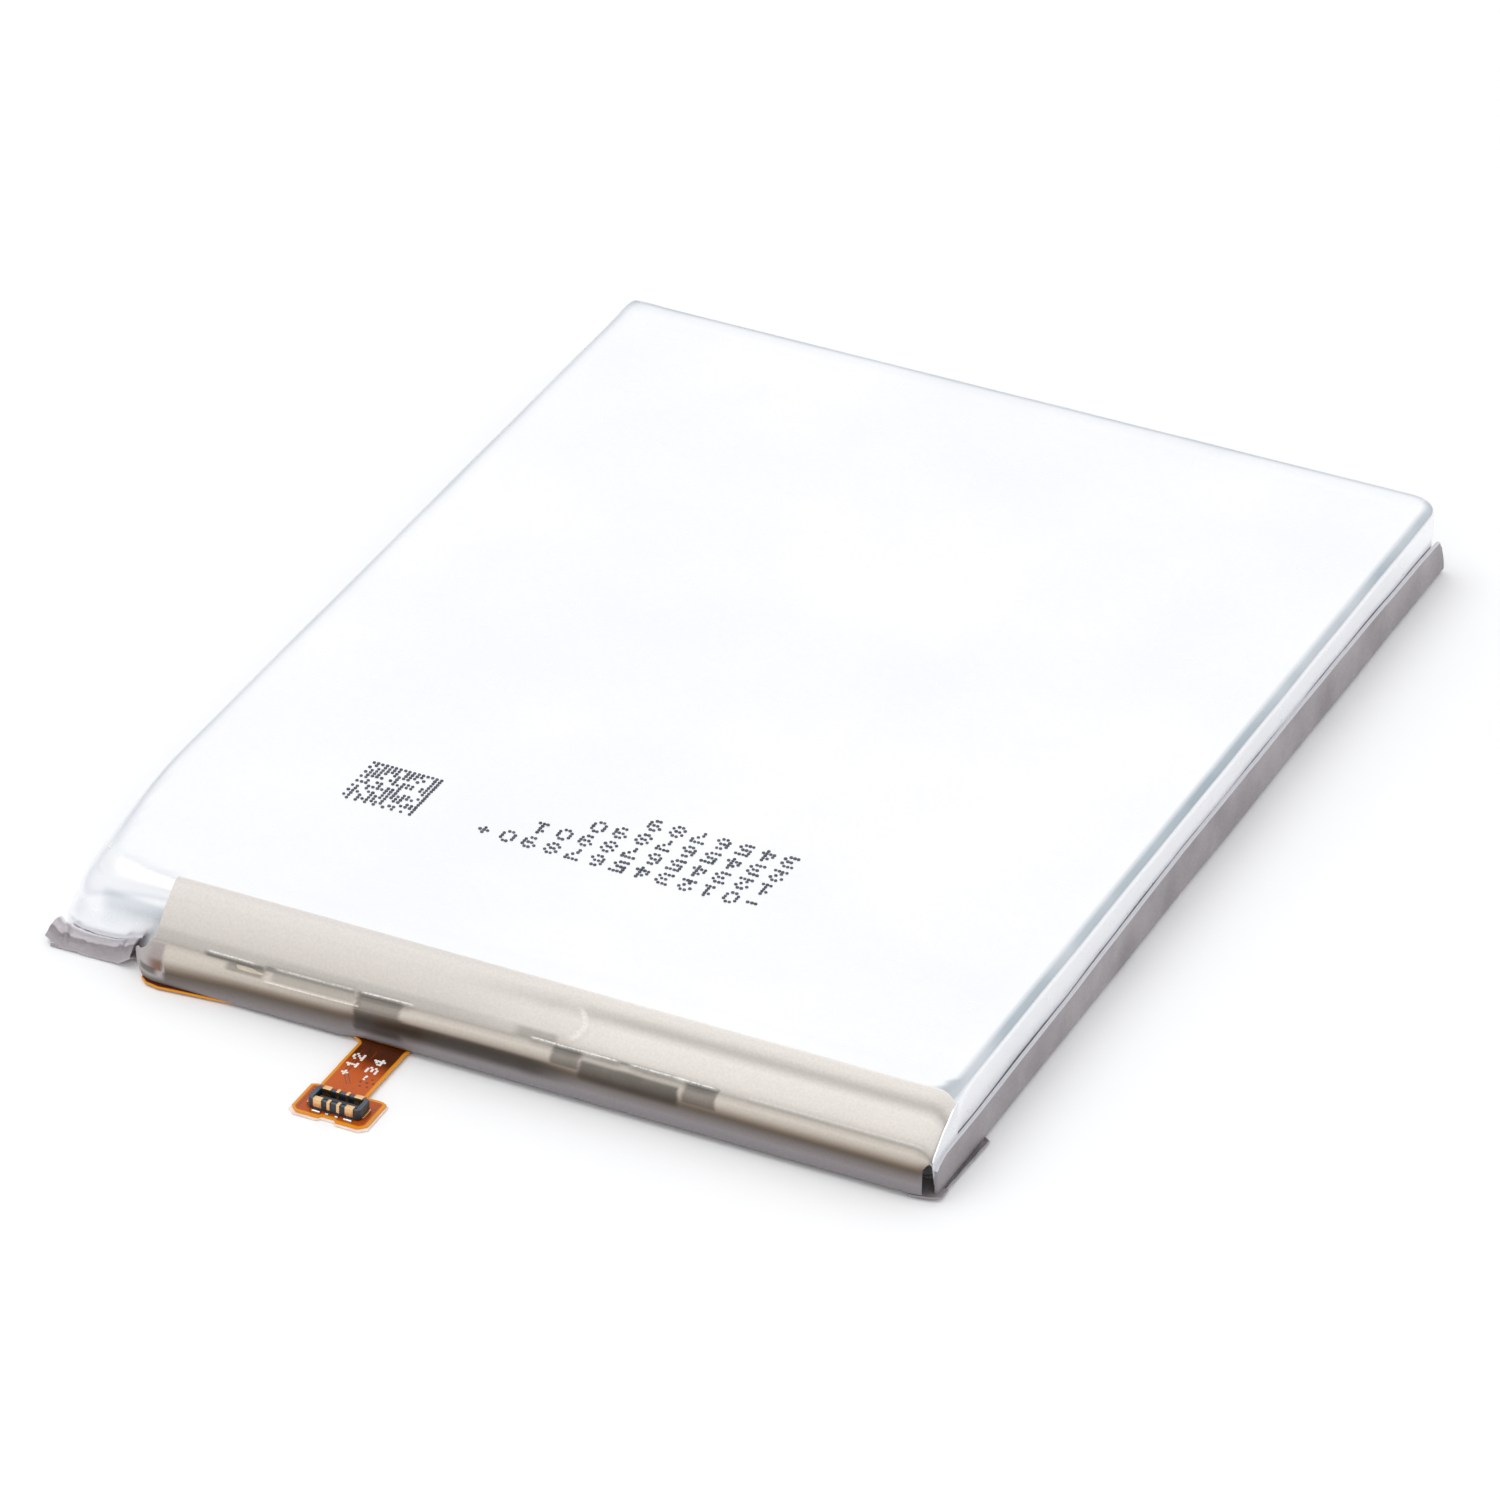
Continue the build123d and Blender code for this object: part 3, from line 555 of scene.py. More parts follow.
# Painted highlight on the creases, the dot's bump and the back edge, broken up by a crinkle noise.
lip = add(tree, "Attribute", attribute_name="lip").outputs["Fac"]
glint = add(
    tree, "TexNoise",
    {"Vector": add(tree, "TexCoord").outputs["Object"], "Scale": per_mm(0.14), "Detail": 4.0}
)
crinkle = add(
    tree, "MapRange", {"Value": glint.outputs["Fac"], "From Min": 0.35, "From Max": 0.6, "To Min": 0.45}
)
lit = add(tree, "Math", {0: lip, 1: crinkle.outputs["Result"]}, operation="MULTIPLY")
creased = add(tree, "Mix", {0: lit.outputs[0], 6: wetted_and_shaded.outputs[2], 7: linear("#f6f2ec")}, data_type="RGBA")
cast = add(
    tree, "TexNoise",
    {"Vector": add(tree, "TexCoord").outputs["Object"], "Scale": per_mm(0.17), "Detail": 3.0}
)
mottle = add(
    tree, "MapRange", {
        "Value": cast.outputs["Fac"], "From Min": 0.3, "From Max": 0.7, "To Min": 0.945, "To Max": 1.035
    }
)
grained = add(
    tree, "VectorMath", {0: creased.outputs[2], "Scale": mottle.outputs["Result"]}, operation="SCALE"
)
tree.links.new(grained.outputs[0], body.inputs["Base Color"])

# Polyimide flex circuit: amber coverlay over etched copper. Bare polyimide shows as a clear amber rim, the
# copper under the coverlay as a deep orange brown, and it darkens towards the bar, partly where the copper
# is solid and partly as painted shade from the dark bar.
RIM = 0.20
polyimide_flex = surface(
    "polyimide_coverlay",
    "#a8480c",
    "#c8621a",
    patch=1.4,
    grain=0.14,
    rough=(0.26, 0.36),
    bump=0.0015,
    shader={"Specular IOR Level": 0.30},
)
flex_run_finish = polyimide_flex.copy()
flex_run_finish.name = "polyimide_coverlay_run"
tree, body, colour = nodes_of(flex_run_finish)
# The run's front rim is clear amber; behind it the colour runs to near black under the bar, partly the copper
# and partly painted shade.
at = add(tree, "SeparateXYZ", {"Vector": add(tree, "TexCoord").outputs["Object"]})
front = add(tree, "MapRange", {"Value": at.outputs["Y"], "From Min": -41.55 * MM, "From Max": -41.25 * MM})
rim_colour = add(
    tree, "ValToRGB", {"Fac": front.outputs["Result"]}, stops=[
        (0.0, "#e08a1e"), (0.45, "#d97a1c"), (0.8, "#3a1c0c")
    ]
)
rim_and_shaded_copper = add(tree, "Mix", {0: 0.8, 6: colour, 7: rim_colour.outputs["Color"]}, data_type="RGBA")
tree.links.new(rim_and_shaded_copper.outputs[2], body.inputs["Base Color"])

tree, body, colour = nodes_of(polyimide_flex)
rim = add(tree, "Attribute", attribute_name="edge").outputs["Fac"]
inside = add(tree, "MapRange", {"Value": rim, "From Min": RIM - 0.05, "From Max": RIM + 0.03})
# Darker towards the bar: partly the solid copper, partly painted shade.
shade = add(tree, "Attribute", attribute_name="stain").outputs["Fac"]
copper_and_painted_shade = add(
    tree, "ValToRGB", {"Fac": shade}, stops=[
        (0.0, "#c4560c"), (0.30, "#9c3d05"), (0.60, "#3a1503"), (0.80, "#0c0401")
    ]
)
deep = add(tree, "Mix", {0: 0.85, 6: colour, 7: copper_and_painted_shade.outputs["Color"]}, data_type="RGBA")
edged = add(
    tree, "Mix", {0: inside.outputs["Result"], 6: linear("#e3921f"), 7: deep.outputs[2]}, data_type="RGBA"
)
tree.links.new(edged.outputs[2], body.inputs["Base Color"])

# Stiffener: bonded glass fabric laminate, pale with a pink cast and a faint weave.
stiffener_laminate = surface(
    "woven_glass_laminate", "#ecd3c4", "#f8e8dc", patch=1.0, grain=0.12, rough=(0.40, 0.55), bump=0.006,
    shader={"Subsurface Weight": 0.1, "Subsurface Scale": 0.0004},
)
# Connector housing: black liquid crystal polymer, injection moulded. It has a fine flow grain and a bluish
# gloss.
connector_resin = surface(
    "moulded_liquid_crystal_polymer", "#15191f", "#232a33", patch=0.5, grain=0.08, rough=(0.28, 0.42),
    bump=0.004,
    wear="#4a5561",
)
# Contacts: hard gold plate over nickel on phosphor bronze, smooth with faint rolling lines.
gold_plating = surface(
    "plated_hard_gold", "#a56a34", "#c4854c", patch=0.4, grain=0.06, rough=(0.22, 0.36), bump=0.002,
    shader={"Metallic": 1.0}, wear="#f3cf9d",
)
# Solder: reflowed tin alloy, a bright fluid surface that has frozen in slight ripples.
tin_solder = surface(
    "reflowed_tin_solder", "#b9bcc0", "#f0f1f2", patch=0.2, grain=0.07, rough=(0.15, 0.32), bump=0.015,
    shader={"Metallic": 1.0},
)
# Etched copper seen through the coverlay: traces and plated holes stand out as a darker reddish brown relief.
etched_copper = surface(
    "coverlay_over_etched_copper", "#6e2a06", "#8a3a0c", patch=0.6, grain=0.08, rough=(0.25, 0.38),
    bump=0.002,
    shader={"Coat Weight": 0.25, "Coat Roughness": 0.20},
)
# Marking ink: dark grey solvent ink jetted in dots, matte, a little thin where a dot has spread.
jetted_ink = surface(
    "jetted_marking_ink", "#3d414b", "#5b5f69", patch=0.6, grain=0.10, rough=(0.50, 0.70), bump=0.004
)
# Legend ink: white epoxy ink screened on the flex.
screened_ink = surface(
    "screened_epoxy_ink", "#e8e0d8", "#fbf7f2", patch=0.4, grain=0.08, rough=(0.45, 0.60), bump=0.004
)

SLOT_FINISHES = {
    "bright_laminate": bright_laminate,
    "matte_laminate": matte_laminate,
    "polyimide_flex": flex_run_finish,
    "stiffener_laminate": stiffener_laminate,
    "connector_resin": connector_resin,
    "gold_plating": gold_plating,
    "tin_solder": tin_solder,
    "translucent_tape": translucent_tape,
    # Anode: graphite and binder rolled on copper, a soft dark grey with a slight sheen.
    "graphite_electrode": surface(
        "rolled_graphite_coating", "#26272a", "#35363a", patch=6.0, grain=0.12, rough=(0.55, 0.72), bump=0.006
    ),
    # Cathode: lithium oxide and carbon rolled on aluminium, a flat brown black.
    "oxide_electrode": surface(
        "rolled_oxide_coating", "#1b1918", "#2a2725", patch=6.0, grain=0.10, rough=(0.62, 0.80), bump=0.005
    ),
    # Separator: stretched polyethylene with a ceramic coat, a soft milky white.
    "separator_film": surface(
        "ceramic_coated_polyethylene", "#e3e3df", "#f2f2ee", patch=8.0, grain=0.15, rough=(0.48, 0.60),
        bump=0.004
    ),
    # Stack tape: green polyester film with a glossy face.
    "binding_tape": surface(
        "polyester_stack_tape", "#2f6f52", "#3b8264", patch=3.0, grain=0.20, rough=(0.22, 0.34), bump=0.004
    ),
    # Rolled copper foil, pink orange with long roll lines.
    "copper_foil": surface(
        "rolled_copper_foil", "#b8683f", "#d68a5c", patch=2.0, grain=0.10, rough=(0.24, 0.38), bump=0.003,
        shader={"Metallic": 1.0},
    ),
    # Rolled aluminium foil and strip, a pale grey satin.
    "aluminium_foil": surface(
        "rolled_aluminium_foil", "#c4c6c9", "#dcdee0", patch=2.0, grain=0.10, rough=(0.25, 0.40), bump=0.003,
        shader={"Metallic": 1.0},
    ),
    # Nickel strip: rolled and annealed, a warm grey satin metal.
    "nickel_strip": surface(
        "annealed_nickel_strip", "#a8a39a", "#c6c1b7", patch=1.5, grain=0.12, rough=(0.25, 0.40), bump=0.004,
        shader={"Metallic": 1.0},
    ),
    # Lead film: modified polypropylene melted round the lead, a milky film.
    "sealant_film": surface(
        "melted_polypropylene_film", "#c9c8c2", "#dcdbd6", patch=2.0, grain=0.20, rough=(0.35, 0.50),
        bump=0.006
    ),
    # Double-sided board tape and the dot of adhesive: white acrylic foam.
    "adhesive_tape": surface(
        "acrylic_foam_adhesive", "#dcd8d0", "#ece9e2", patch=1.0, grain=0.12, rough=(0.45, 0.60), bump=0.010
    ),
    # Circuit board: glass epoxy under a reddish brown solder mask.
    "board_laminate": surface(
        "masked_glass_epoxy", "#5c2f24", "#74402f", patch=1.5, grain=0.12, rough=(0.28, 0.42), bump=0.006,
        shader={"Coat Weight": 0.3, "Coat Roughness": 0.2},
    ),
    # Chip capacitors, the thermistor and the fuse: fired ceramic, a matte tan.
    "ceramic_chip": surface(
        "fired_ceramic", "#a58a6d", "#bda182", patch=0.5, grain=0.06, rough=(0.40, 0.55), bump=0.004
    ),
    # Transistors, the protection chip and resistors: moulded black epoxy with silica grain.
    "chip_epoxy": surface(
        "silica_filled_epoxy", "#1d1d1f", "#2b2b2e", patch=0.5, grain=0.06, rough=(0.48, 0.62), bump=0.005
    ),
    # Insulating strip and lead cover: calendered aramid paper, a pale beige with short fibres.
    "insulating_board": surface(
        "calendered_aramid_paper", "#b9ab98", "#cbbfae", patch=1.2, grain=0.14, rough=(0.50, 0.66), bump=0.010
    ),
}
for part in frame["record"]["subparts"]:
    node_mesh = frame["nodes"][part["node"]].data
    node_mesh.materials.clear()
    node_mesh.materials.append(SLOT_FINISHES[part["material_slot"]])

# ---- pouch ----
cup_low, cup_high = box_mm("pouch_cup")
CUP_HALF_WIDTH, CUP_HALF_LENGTH = cup_high.x, cup_high.y
CUP_TOP, CUP_FLOOR = cup_high.z, cup_low.z
FILM = 0.11
CUP_CORNER = 2.0
SHOULDER = 0.6
FRONT_SHOULDER = 1.4  # under the tape
FREE_SHOULDER = 3.2  # the softer shoulder at the front left, where no tape holds it down
FREE_CORNER_FOOT, FREE_CORNER_TOP = 0.9, 3.0  # that corner in plan, at its foot and at its top
FREE_FLARE = 0.35  # how far its foot spreads over the fold
UPPER_WALL = 3.6  # the part of the wall under the top that gets most of the grid
UPPER_WALL_START = 0.2  # and the share of the grid's height below it
EDGE_ZONE = 4.2  # the width along each edge where the grid is finer
GRID_CUTS = 56


def spread(t, half, zone, share):
    """Map -1..1 to -half..half with this share of the steps within zone of each end."""
    reach = abs(t)
    if reach < 1 - share:
        reach = reach / (1 - share) * (half - zone)
    else:
        reach = half - zone + (reach - 1 + share) / share * zone
    return math.copysign(reach, t)


def pouch_relief(x, y):
    """Height of the pouch's top over flat: a slight crown, slack swells and a dip inside the shoulder."""
    inset = min(CUP_HALF_WIDTH - abs(x), CUP_HALF_LENGTH - abs(y))
    slack = 0.030 * ripple(x, y, 12.0, 3.1) + 0.010 * ripple(x, y, 4.0, 7.7)
    return 0.05 * smooth(2, 14, inset) + slack * smooth(1.3, 4, inset) - 0.03 * band(1.6, 2.4, 0.8, inset)


def pouch_point(a, b, c):
    """Map a point of the unit cube's face to the cup's outer face, and give the share of painted grey-blue
    reflection there.
    """
    x = spread(a, CUP_HALF_WIDTH, EDGE_ZONE, 0.34)
    y = spread(b, CUP_HALF_LENGTH, EDGE_ZONE, 0.30)
    rise = (c + 1) / 2
    if rise > UPPER_WALL_START:
        z = CUP_TOP - UPPER_WALL + UPPER_WALL * (rise - UPPER_WALL_START) / 0.8
    else:
        z = CUP_FLOOR + (CUP_TOP - UPPER_WALL - CUP_FLOOR) * rise / UPPER_WALL_START
    free = (1 - smooth(-28.5, -21.0, x)) * (1 - smooth(-40.5, -25.0, y))
    shoulder = SHOULDER + (FRONT_SHOULDER - SHOULDER) * (1 - smooth(-37.5, -35.5, y))
    shoulder += (FREE_SHOULDER - shoulder) * free
    radius = CUP_CORNER
    if x < 0 and y < 0:
        radius = FREE_CORNER_FOOT + (FREE_CORNER_TOP - FREE_CORNER_FOOT) * smooth(1.0, 5.0, z)
    side, end = CUP_HALF_WIDTH - abs(x), CUP_HALF_LENGTH - abs(y)
    inset = min(side, end)
    out = Vector((math.copysign(1, x), 0)) if side < end else Vector((0, math.copysign(1, y)))
    flat = Vector((x, y))
    corner = Vector((max(0.0, radius - side), max(0.0, radius - end)))
    if corner.x > 0 and corner.y > 0:
        rounded = corner * max(corner) / corner.length
        flat += Vector(
            (math.copysign(1, x) * (rounded.x - corner.x), math.copysign(1, y) * (rounded.y - corner.y))
        )
        out = Vector((math.copysign(rounded.x, x), math.copysign(rounded.y, y))).normalized()
    over, above = shoulder - inset, z - (CUP_TOP - shoulder)
    if over > 0 and above > 0:
        rounding = max(over, above) / math.hypot(over, above)
        flat += out * over * (rounding - 1)
        z = CUP_TOP - shoulder + above * rounding
    flat += (
        out * FREE_FLARE
        * (1 - smooth(1.0, 2.8, z)) * (1 - smooth(-25.5, -23.5, x)) * (1 - smooth(-37.0, -33.0, y))
    )
    wall = 1 - smooth(0.0, 0.6, inset)
    flat += out * wall * (0.03 * ripple(x + y, z, 5.0, 2.2) - 0.05 * band(1.2, 2.6, 1.0, z))
    point = Vector((flat.x, flat.y, z + pouch_relief(x, y) * smooth(CUP_TOP - 1.0, CUP_TOP, z)))
    steep = math.degrees(math.atan2(max(over, 0), max(above, 0.001))) if over > 0 and above > 0 else 0
    pinch = math.exp(-((x + CUP_HALF_WIDTH) ** 2 + (y - CUP_HALF_LENGTH) ** 2 + (z - CUP_TOP) ** 2) / 1.6)
    point += Vector((-0.30, 0.30, 0.10)) * pinch
    # The share of painted grey-blue reflection: on the steep shoulders, most of all along the right side,
    # along the back edge and the left side, and in a patch at the front left corner.
    rim = (1.0 if side < end and x > 0 else 0.25) * band(10, 50, 10, steep) * (1 - free)
    soft_rim = (
        0.22 * (1 - smooth(0.5, 2.0, end)) * smooth(0, 10, y)
        + 0.20 * (1 - smooth(0.4, 1.3, side)) * (x < 0)
    )
    painted_reflection_patch = (
        0.75 * smooth(1.2, 3.3, z) * (1 - smooth(3.6, 4.1, z)) * band(-26.3, -21.0, 0.7, x) * (y < -37)
    )
    return point * MM, min(1.0, rim + soft_rim * smooth(CUP_TOP - 0.8, CUP_TOP, z) + painted_reflection_patch)


bm = bmesh.new()
bmesh.ops.create_cube(bm, size=2)
bmesh.ops.subdivide_edges(bm, edges=bm.edges[:], cuts=GRID_CUTS, use_grid_fill=True)
underside = [f for f in bm.faces if f.calc_center_median().z < -0.999]
bmesh.ops.delete(bm, geom=underside, context="FACES")
# This layer carries the share of painted reflection to the laminate's material.
painted_reflection_layer = bm.verts.layers.float.new("shoulder")
for vert in bm.verts:
    vert.co, vert[painted_reflection_layer] = pouch_point(*vert.co)
thicken(bm, FILM)
piece("pouch_film", bm, "pack", bright_laminate, ["pouch_cup"])

# ---- printed marks ----
DOT_RADIUS = 0.125
DOT_PITCH_X, DOT_PITCH_Y = 0.25, 0.26
CHARACTER_PITCH, ROW_PITCH = 1.50, 1.70
MARKS = {
    "0": ".##. #..# #..# #..# .##.",
    "1": "..#. .##. ..#. ..#. .###",
    "2": ".##. #..# ..#. .#.. ####",
    "3": "###. ...# .##. ...# ###.",
    "4": "..#. .##. #.#. #### ..#.",
    "5": "#### #... ###. ...# ###.",
    "6": ".##. #... ###. #..# .##.",
    "7": "#### ...# ..#. .#.. .#..",
    "8": ".##. #..# .##. #..# .##.",
    "9": ".##. #..# .### ...# .##.",
    "+": ".... ..#. .### ..#. ....",
    "-": ".... .... .### .... ....",
}
MARK_ROWS = ("-01234567890+", "12345678901", "234567890", "3456789")
MARK_START_X, MARK_START_Y = 10.3, -25.2
CODE_LEFT_X, CODE_RIGHT_X, CODE_FRONT_Y, CODE_BACK_Y = -17.65, -13.0, -25.2, -20.9
CODE_CELLS = 16


def mark_dots():
    """Centres of the printed dots: rows of digits that read from the back, and a square of random cells."""
    dots = []
    for row, text in enumerate(MARK_ROWS):
        for column, character in enumerate(text):
            for line, cells in enumerate(MARKS[character].split()):
                for cell, filled in enumerate(cells):
                    if filled == "#":
                        x = MARK_START_X - column * CHARACTER_PITCH - cell * DOT_PITCH_X
                        dots.append((x, MARK_START_Y + row * ROW_PITCH + line * DOT_PITCH_Y))
    chance = random.Random(16)
    last = CODE_CELLS - 1
    for i in range(CODE_CELLS):
        for j in range(CODE_CELLS):
            solid = i == last or j == last
            timing = (i == 0 and j % 2) or (j == 0 and i % 2)
            inner = 0 < i < last and 0 < j < last and chance.random() < 0.55
            if solid or timing or inner:
                x = CODE_LEFT_X + (CODE_RIGHT_X - CODE_LEFT_X) * i / last
                dots.append((x, CODE_FRONT_Y + (CODE_BACK_Y - CODE_FRONT_Y) * j / last))
    return dots


bm = bmesh.new()
spatter = random.Random(5)
for x, y in mark_dots():
    x += spatter.uniform(-0.015, 0.015)
    y += spatter.uniform(-0.015, 0.015)
    radius = DOT_RADIUS * spatter.uniform(0.88, 1.08)
    place = Matrix.Translation(Vector((x, y, CUP_TOP + pouch_relief(x, y) + 0.012)) * MM)
    bmesh.ops.create_cone(
        bm, cap_ends=True, segments=8, radius1=radius * MM, radius2=radius * 0.9 * MM, depth=0.06 * MM,
        matrix=place
    )
piece("printed_marks", bm, "pack", jetted_ink, smooth_faces=False)

# ---- wrapping tape over the bar ----
tape_low, tape_high = box_mm("wrap_tape")
TAPE = 0.06
CREST_Y, CREST_Z = tape_low.y + 0.70, 3.30
NOSE_Z = 2.83
SLOPE_TOP_Y = -38.19
tape_path = rounded_path(
    [
        (tape_high.y, tape_high.z),
        (SLOPE_TOP_Y, tape_high.z),
        (CREST_Y, CREST_Z),
        (tape_low.y, NOSE_Z),
        (tape_low.y, tape_low.z),
        (tape_low.y + 2.0, tape_low.z),
    ],
    [1.27, 0.15, 0.50, 0.30],
)
CREST = 0.422  # shares of the tape's length across the bar
TAPE_LENGTH = 9.1
cover_low, cover_high = box_mm("lead_cover")
dot_low, dot_high = box_mm("adhesive_dot")
DOT_X, DOT_SHARE = (dot_low.x + dot_high.x) / 2, 0.255
LIPS = ((-18.3, -15.6, 0.10), (-7.9, -5.0, 0.14), (3.3, 8.6, 0.12), (9.8, 15.0, 0.12), (17.5, 28.4, 0.04))
COVER_LIP = (-13.7, -8.9, 0.07)
COVER_HEM = 0.522
HOLLOWS = ((-16.4, -14.7), (-8.4, -5.2), (3.4, 8.8), (10.0, 14.6))
LUMPS = ((3.9, 0.06), (6.6, 0.04), (9.7, 0.07), (12.4, 0.04))
# Darkened patches. Most are painted shadow: along the crest behind the lips and the lead cover, beside the
# lead cover, under the rounded nose and below the board's left end; between 3 and 15 along the bar they are
# partly the dark chips seen through the tape where its adhesive wets them. From, its softness, to and its
# softness along the bar, the same across it, and the depth.
WETTED_AND_SHADED = (
    (-18.4, 0.5, -15.0, 0.4, 0.430, 0.015, 0.445, 0.015, 0.60),
    (-16.9, 0.4, -14.8, 0.3, 0.450, 0.015, 0.500, 0.020, 0.50),
    (-14.4, 0.5, -8.7, 0.2, 0.418, 0.012, 0.442, 0.012, 0.48),
    (-13.9, 0.1, -8.5, 0.1, 0.455, 0.012, 0.500, 0.012, 0.30),
    (-8.3, 0.15, -5.6, 0.3, 0.425, 0.012, 0.540, 0.030, 0.56),
    (-8.3, 0.15, -5.6, 0.9, 0.560, 0.030, 0.700, 0.050, 0.75),
    (-8.3, 0.15, 3.0, 4.0, 0.580, 0.035, 0.645, 0.085, 0.84),
    (2.4, 0.9, 4.4, 0.4, 0.375, 0.030, 0.425, 0.015, 0.35),
    (4.7, 0.3, 6.3, 0.4, 0.420, 0.015, 0.545, 0.020, 0.66),
    (6.7, 0.4, 12.9, 0.2, 0.490, 0.030, 0.585, 0.060, 0.80),
    (7.6, 0.4, 12.4, 0.4, 0.415, 0.010, 0.428, 0.012, 0.58),
    (13.4, 0.3, 15.3, 0.2, 0.420, 0.012, 0.560, 0.020, 0.64),
    (-22.9, 0.3, -21.9, 0.3, 0.685, 0.015, 0.710, 0.020, 0.75),
)
# How far the tints and painted shade of the bar's nose sit lower along the bar, towards its left end.
TONE_SHIFT = (
    (-24.0, 0.085), (-21.0, 0.090), (-16.0, 0.062), (-12.0, 0.052), (-7.0, 0.035), (-3.0, 0.012), (1.0, 0.0)
)
TAPE_LEFT = (
    (0.00, -22.20), (0.42, -22.15), (0.50, -22.50), (0.56, -23.10), (0.64, -23.60), (0.70, -23.50),
    (0.78, -22.80), (1.0, -22.2),
)
RIGHT_ROLL = 1.15  # the width over which the tape's right end follows the pouch's rounded side


def slanted(x, v):
    """The place along the bar, sheared as the tape's creases are."""
    return x - 3.2 * (v - 0.46)


def tape_lift(x, v):
    """How far the tape stands off its flat run, along its face's normal."""
    run = v * TAPE_LENGTH
    crest = band(CREST - 0.010, CREST + 0.006, 0.010, v)
    lift = 0.020 * ripple(x, run, 5.0, 1.3) + 0.010 * ripple(x, run, 1.5, 4.2)
    lift += 0.03 * (1 - smooth(0.14, 0.20, v))
    lift += band(0.14, 0.40, 0.05, v) * (
        0.040 * ripple(x, v * 3, 7.0, 9.1) + 0.030 * ripple(x, run, 2.4, 5.9)
    )
    for low, high, height in LIPS:
        lift += height * band(low, high, 0.35, x + 0.12 * ripple(x, 0, 0.8, 3.3)) * crest
        lift -= 0.5 * height * band(low, high, 0.5, x) * band(CREST + 0.02, CREST + 0.035, 0.012, v)
    lift += (
        0.13 * band(cover_low.x, cover_high.x, 0.10, slanted(x, v)) * band(CREST - 0.012, COVER_HEM, 0.010, v)
    )
    for low, high in HOLLOWS:
        lift -= 0.05 * band(low, high, 0.3, slanted(x, v)) * band(CREST + 0.025, 0.50, 0.02, v)
    for centre, height in LUMPS:
        lift += height * math.exp(-(((x - centre) / 0.7) ** 2)) * band(0.44, 0.50, 0.02, v)
    from_dot = math.hypot(x - DOT_X, (v - DOT_SHARE) * TAPE_LENGTH)
    return lift + 0.13 * (1 - smooth(0.70, 1.30, from_dot)) - 0.04 * band(1.35, 1.55, 0.2, from_dot)


def tape_x(u, v):
    """The place along the bar of a point of the tape: its left end bulges past the folded flex in front."""
    left = along_line(TAPE_LEFT, v) + 0.05 * ripple(v * TAPE_LENGTH, 0, 0.9, 8.8)
    return left + (tape_high.x - 0.45 * smooth(0.50, 0.60, v) - left) * u


def tape_tone(u, v):
    """The place across the bar on the scale of tints and painted shade, which turns under lower towards the
    left end.
    """
    return v - along_line(TONE_SHIFT, tape_x(u, v)) * smooth(0.47, 0.60, v)


def tape_stain(u, v):
    """Where the tape darkens, from 0 to 1: partly over dark parts that its adhesive wets, and partly painted
    shadow along the crest, under the nose and below the board's left end.
    """
    x = tape_x(u, v)
    along = x + 0.12 * ripple(x, v * TAPE_LENGTH, 0.7, 6.1)
    stain = 0.0
    for low, soft_low, high, soft_high, start, rise, stop, fall, depth in WETTED_AND_SHADED:
        inside = smooth(low - soft_low, low, along) * (1 - smooth(high, high + soft_high, along))
        down = smooth(start - rise, start, v) * (1 - smooth(stop, stop + fall, v))
        stain = max(stain, depth * inside * down)
    return stain


def tape_lip(u, v):
    """Painted highlights: the thin creases where the tape is pulled sharp and catches the light, a crescent
    on the right of the dot's bump and a thin line along the tape's back edge.
    """
    x = tape_x(u, v)
    crest = band(CREST - 0.007, CREST + 0.002, 0.006, v)
    lip = (
        sum(min(1.0, height * 9) * band(low, high, 0.4, x) for low, high, height in LIPS + (COVER_LIP,))
        * crest
    )
    hem = band(COVER_HEM - 0.008, COVER_HEM, 0.006, v) * band(cover_low.x, cover_high.x, 0.15, slanted(x, v))
    across, along = (v - DOT_SHARE) * TAPE_LENGTH, x - DOT_X
    crescent = band(0.92, 1.08, 0.14, math.hypot(along, across)) * smooth(0.1, 0.8, along)
    return min(1.0, lip + hem + 0.8 * crescent + 0.5 * band(0.0, 0.003, 0.004, v))


def tape_tint(u, v):
    """The overhang past the board's left end: milky up to 0.4, and above that the board's reddish edge."""
    x = tape_x(u, v)
    milky = (1 - smooth(-21.35, -21.15, x)) * smooth(0.44, 0.46, v) * (1 - smooth(0.72, 0.76, v))
    seen = smooth(-22.7, -21.7, x) * (0.30 + 0.70 * smooth(0.585, 0.64, v)) * (1 - smooth(0.675, 0.70, v))
    return milky * (0.4 + 0.55 * seen)


def tape_point(u, v):
    """The tape's outer face."""
    x = tape_x(u, v)
    flat, across = walk(tape_path, v)
    flat = flat - across * tape_lift(x, v)
    y, z = flat.x, flat.y
    if y > SLOPE_TOP_Y - 0.6:
        z += pouch_relief(x, y)
    low_end = 1 - smooth(-16.0, 3.0, x)
    z -= 0.36 * low_end * smooth(0.22, 0.42, v) * (1 - smooth(0.50, 0.62, v))
    over_flex = 1 - smooth(-9.5, -8.0, x)
    z -= 0.18 * over_flex * smooth(0.62, 0.74, v)
    y -= 0.10 * over_flex * band(0.60, 0.80, 0.1, v)
    front = smooth(0.42, 0.54, v)
    left_roll = max(0.0, -21.8 - x) / 1.7
    right_roll = min(0.97, max(0.0, x - tape_high.x + RIGHT_ROLL) / RIGHT_ROLL)
    right_drop = RIGHT_ROLL * (1 - math.sqrt(1 - right_roll**2))
    y += front * (0.80 * left_roll**2 + 0.60 * right_drop)
    z -= 0.35 * band(0.40, 0.54, 0.05, v) * left_roll**2 + right_drop * (1 - smooth(0.44, 0.56, v))
    return x, y, z


bm = sheet(300, 110, tape_point, -TAPE, tone=tape_tone, stain=tape_stain, lip=tape_lip, tint=tape_tint)
piece("wrapping_tape", bm, "pack", translucent_tape, ["wrap_tape"])

# ---- folded side seals ----
SEAL = 0.22


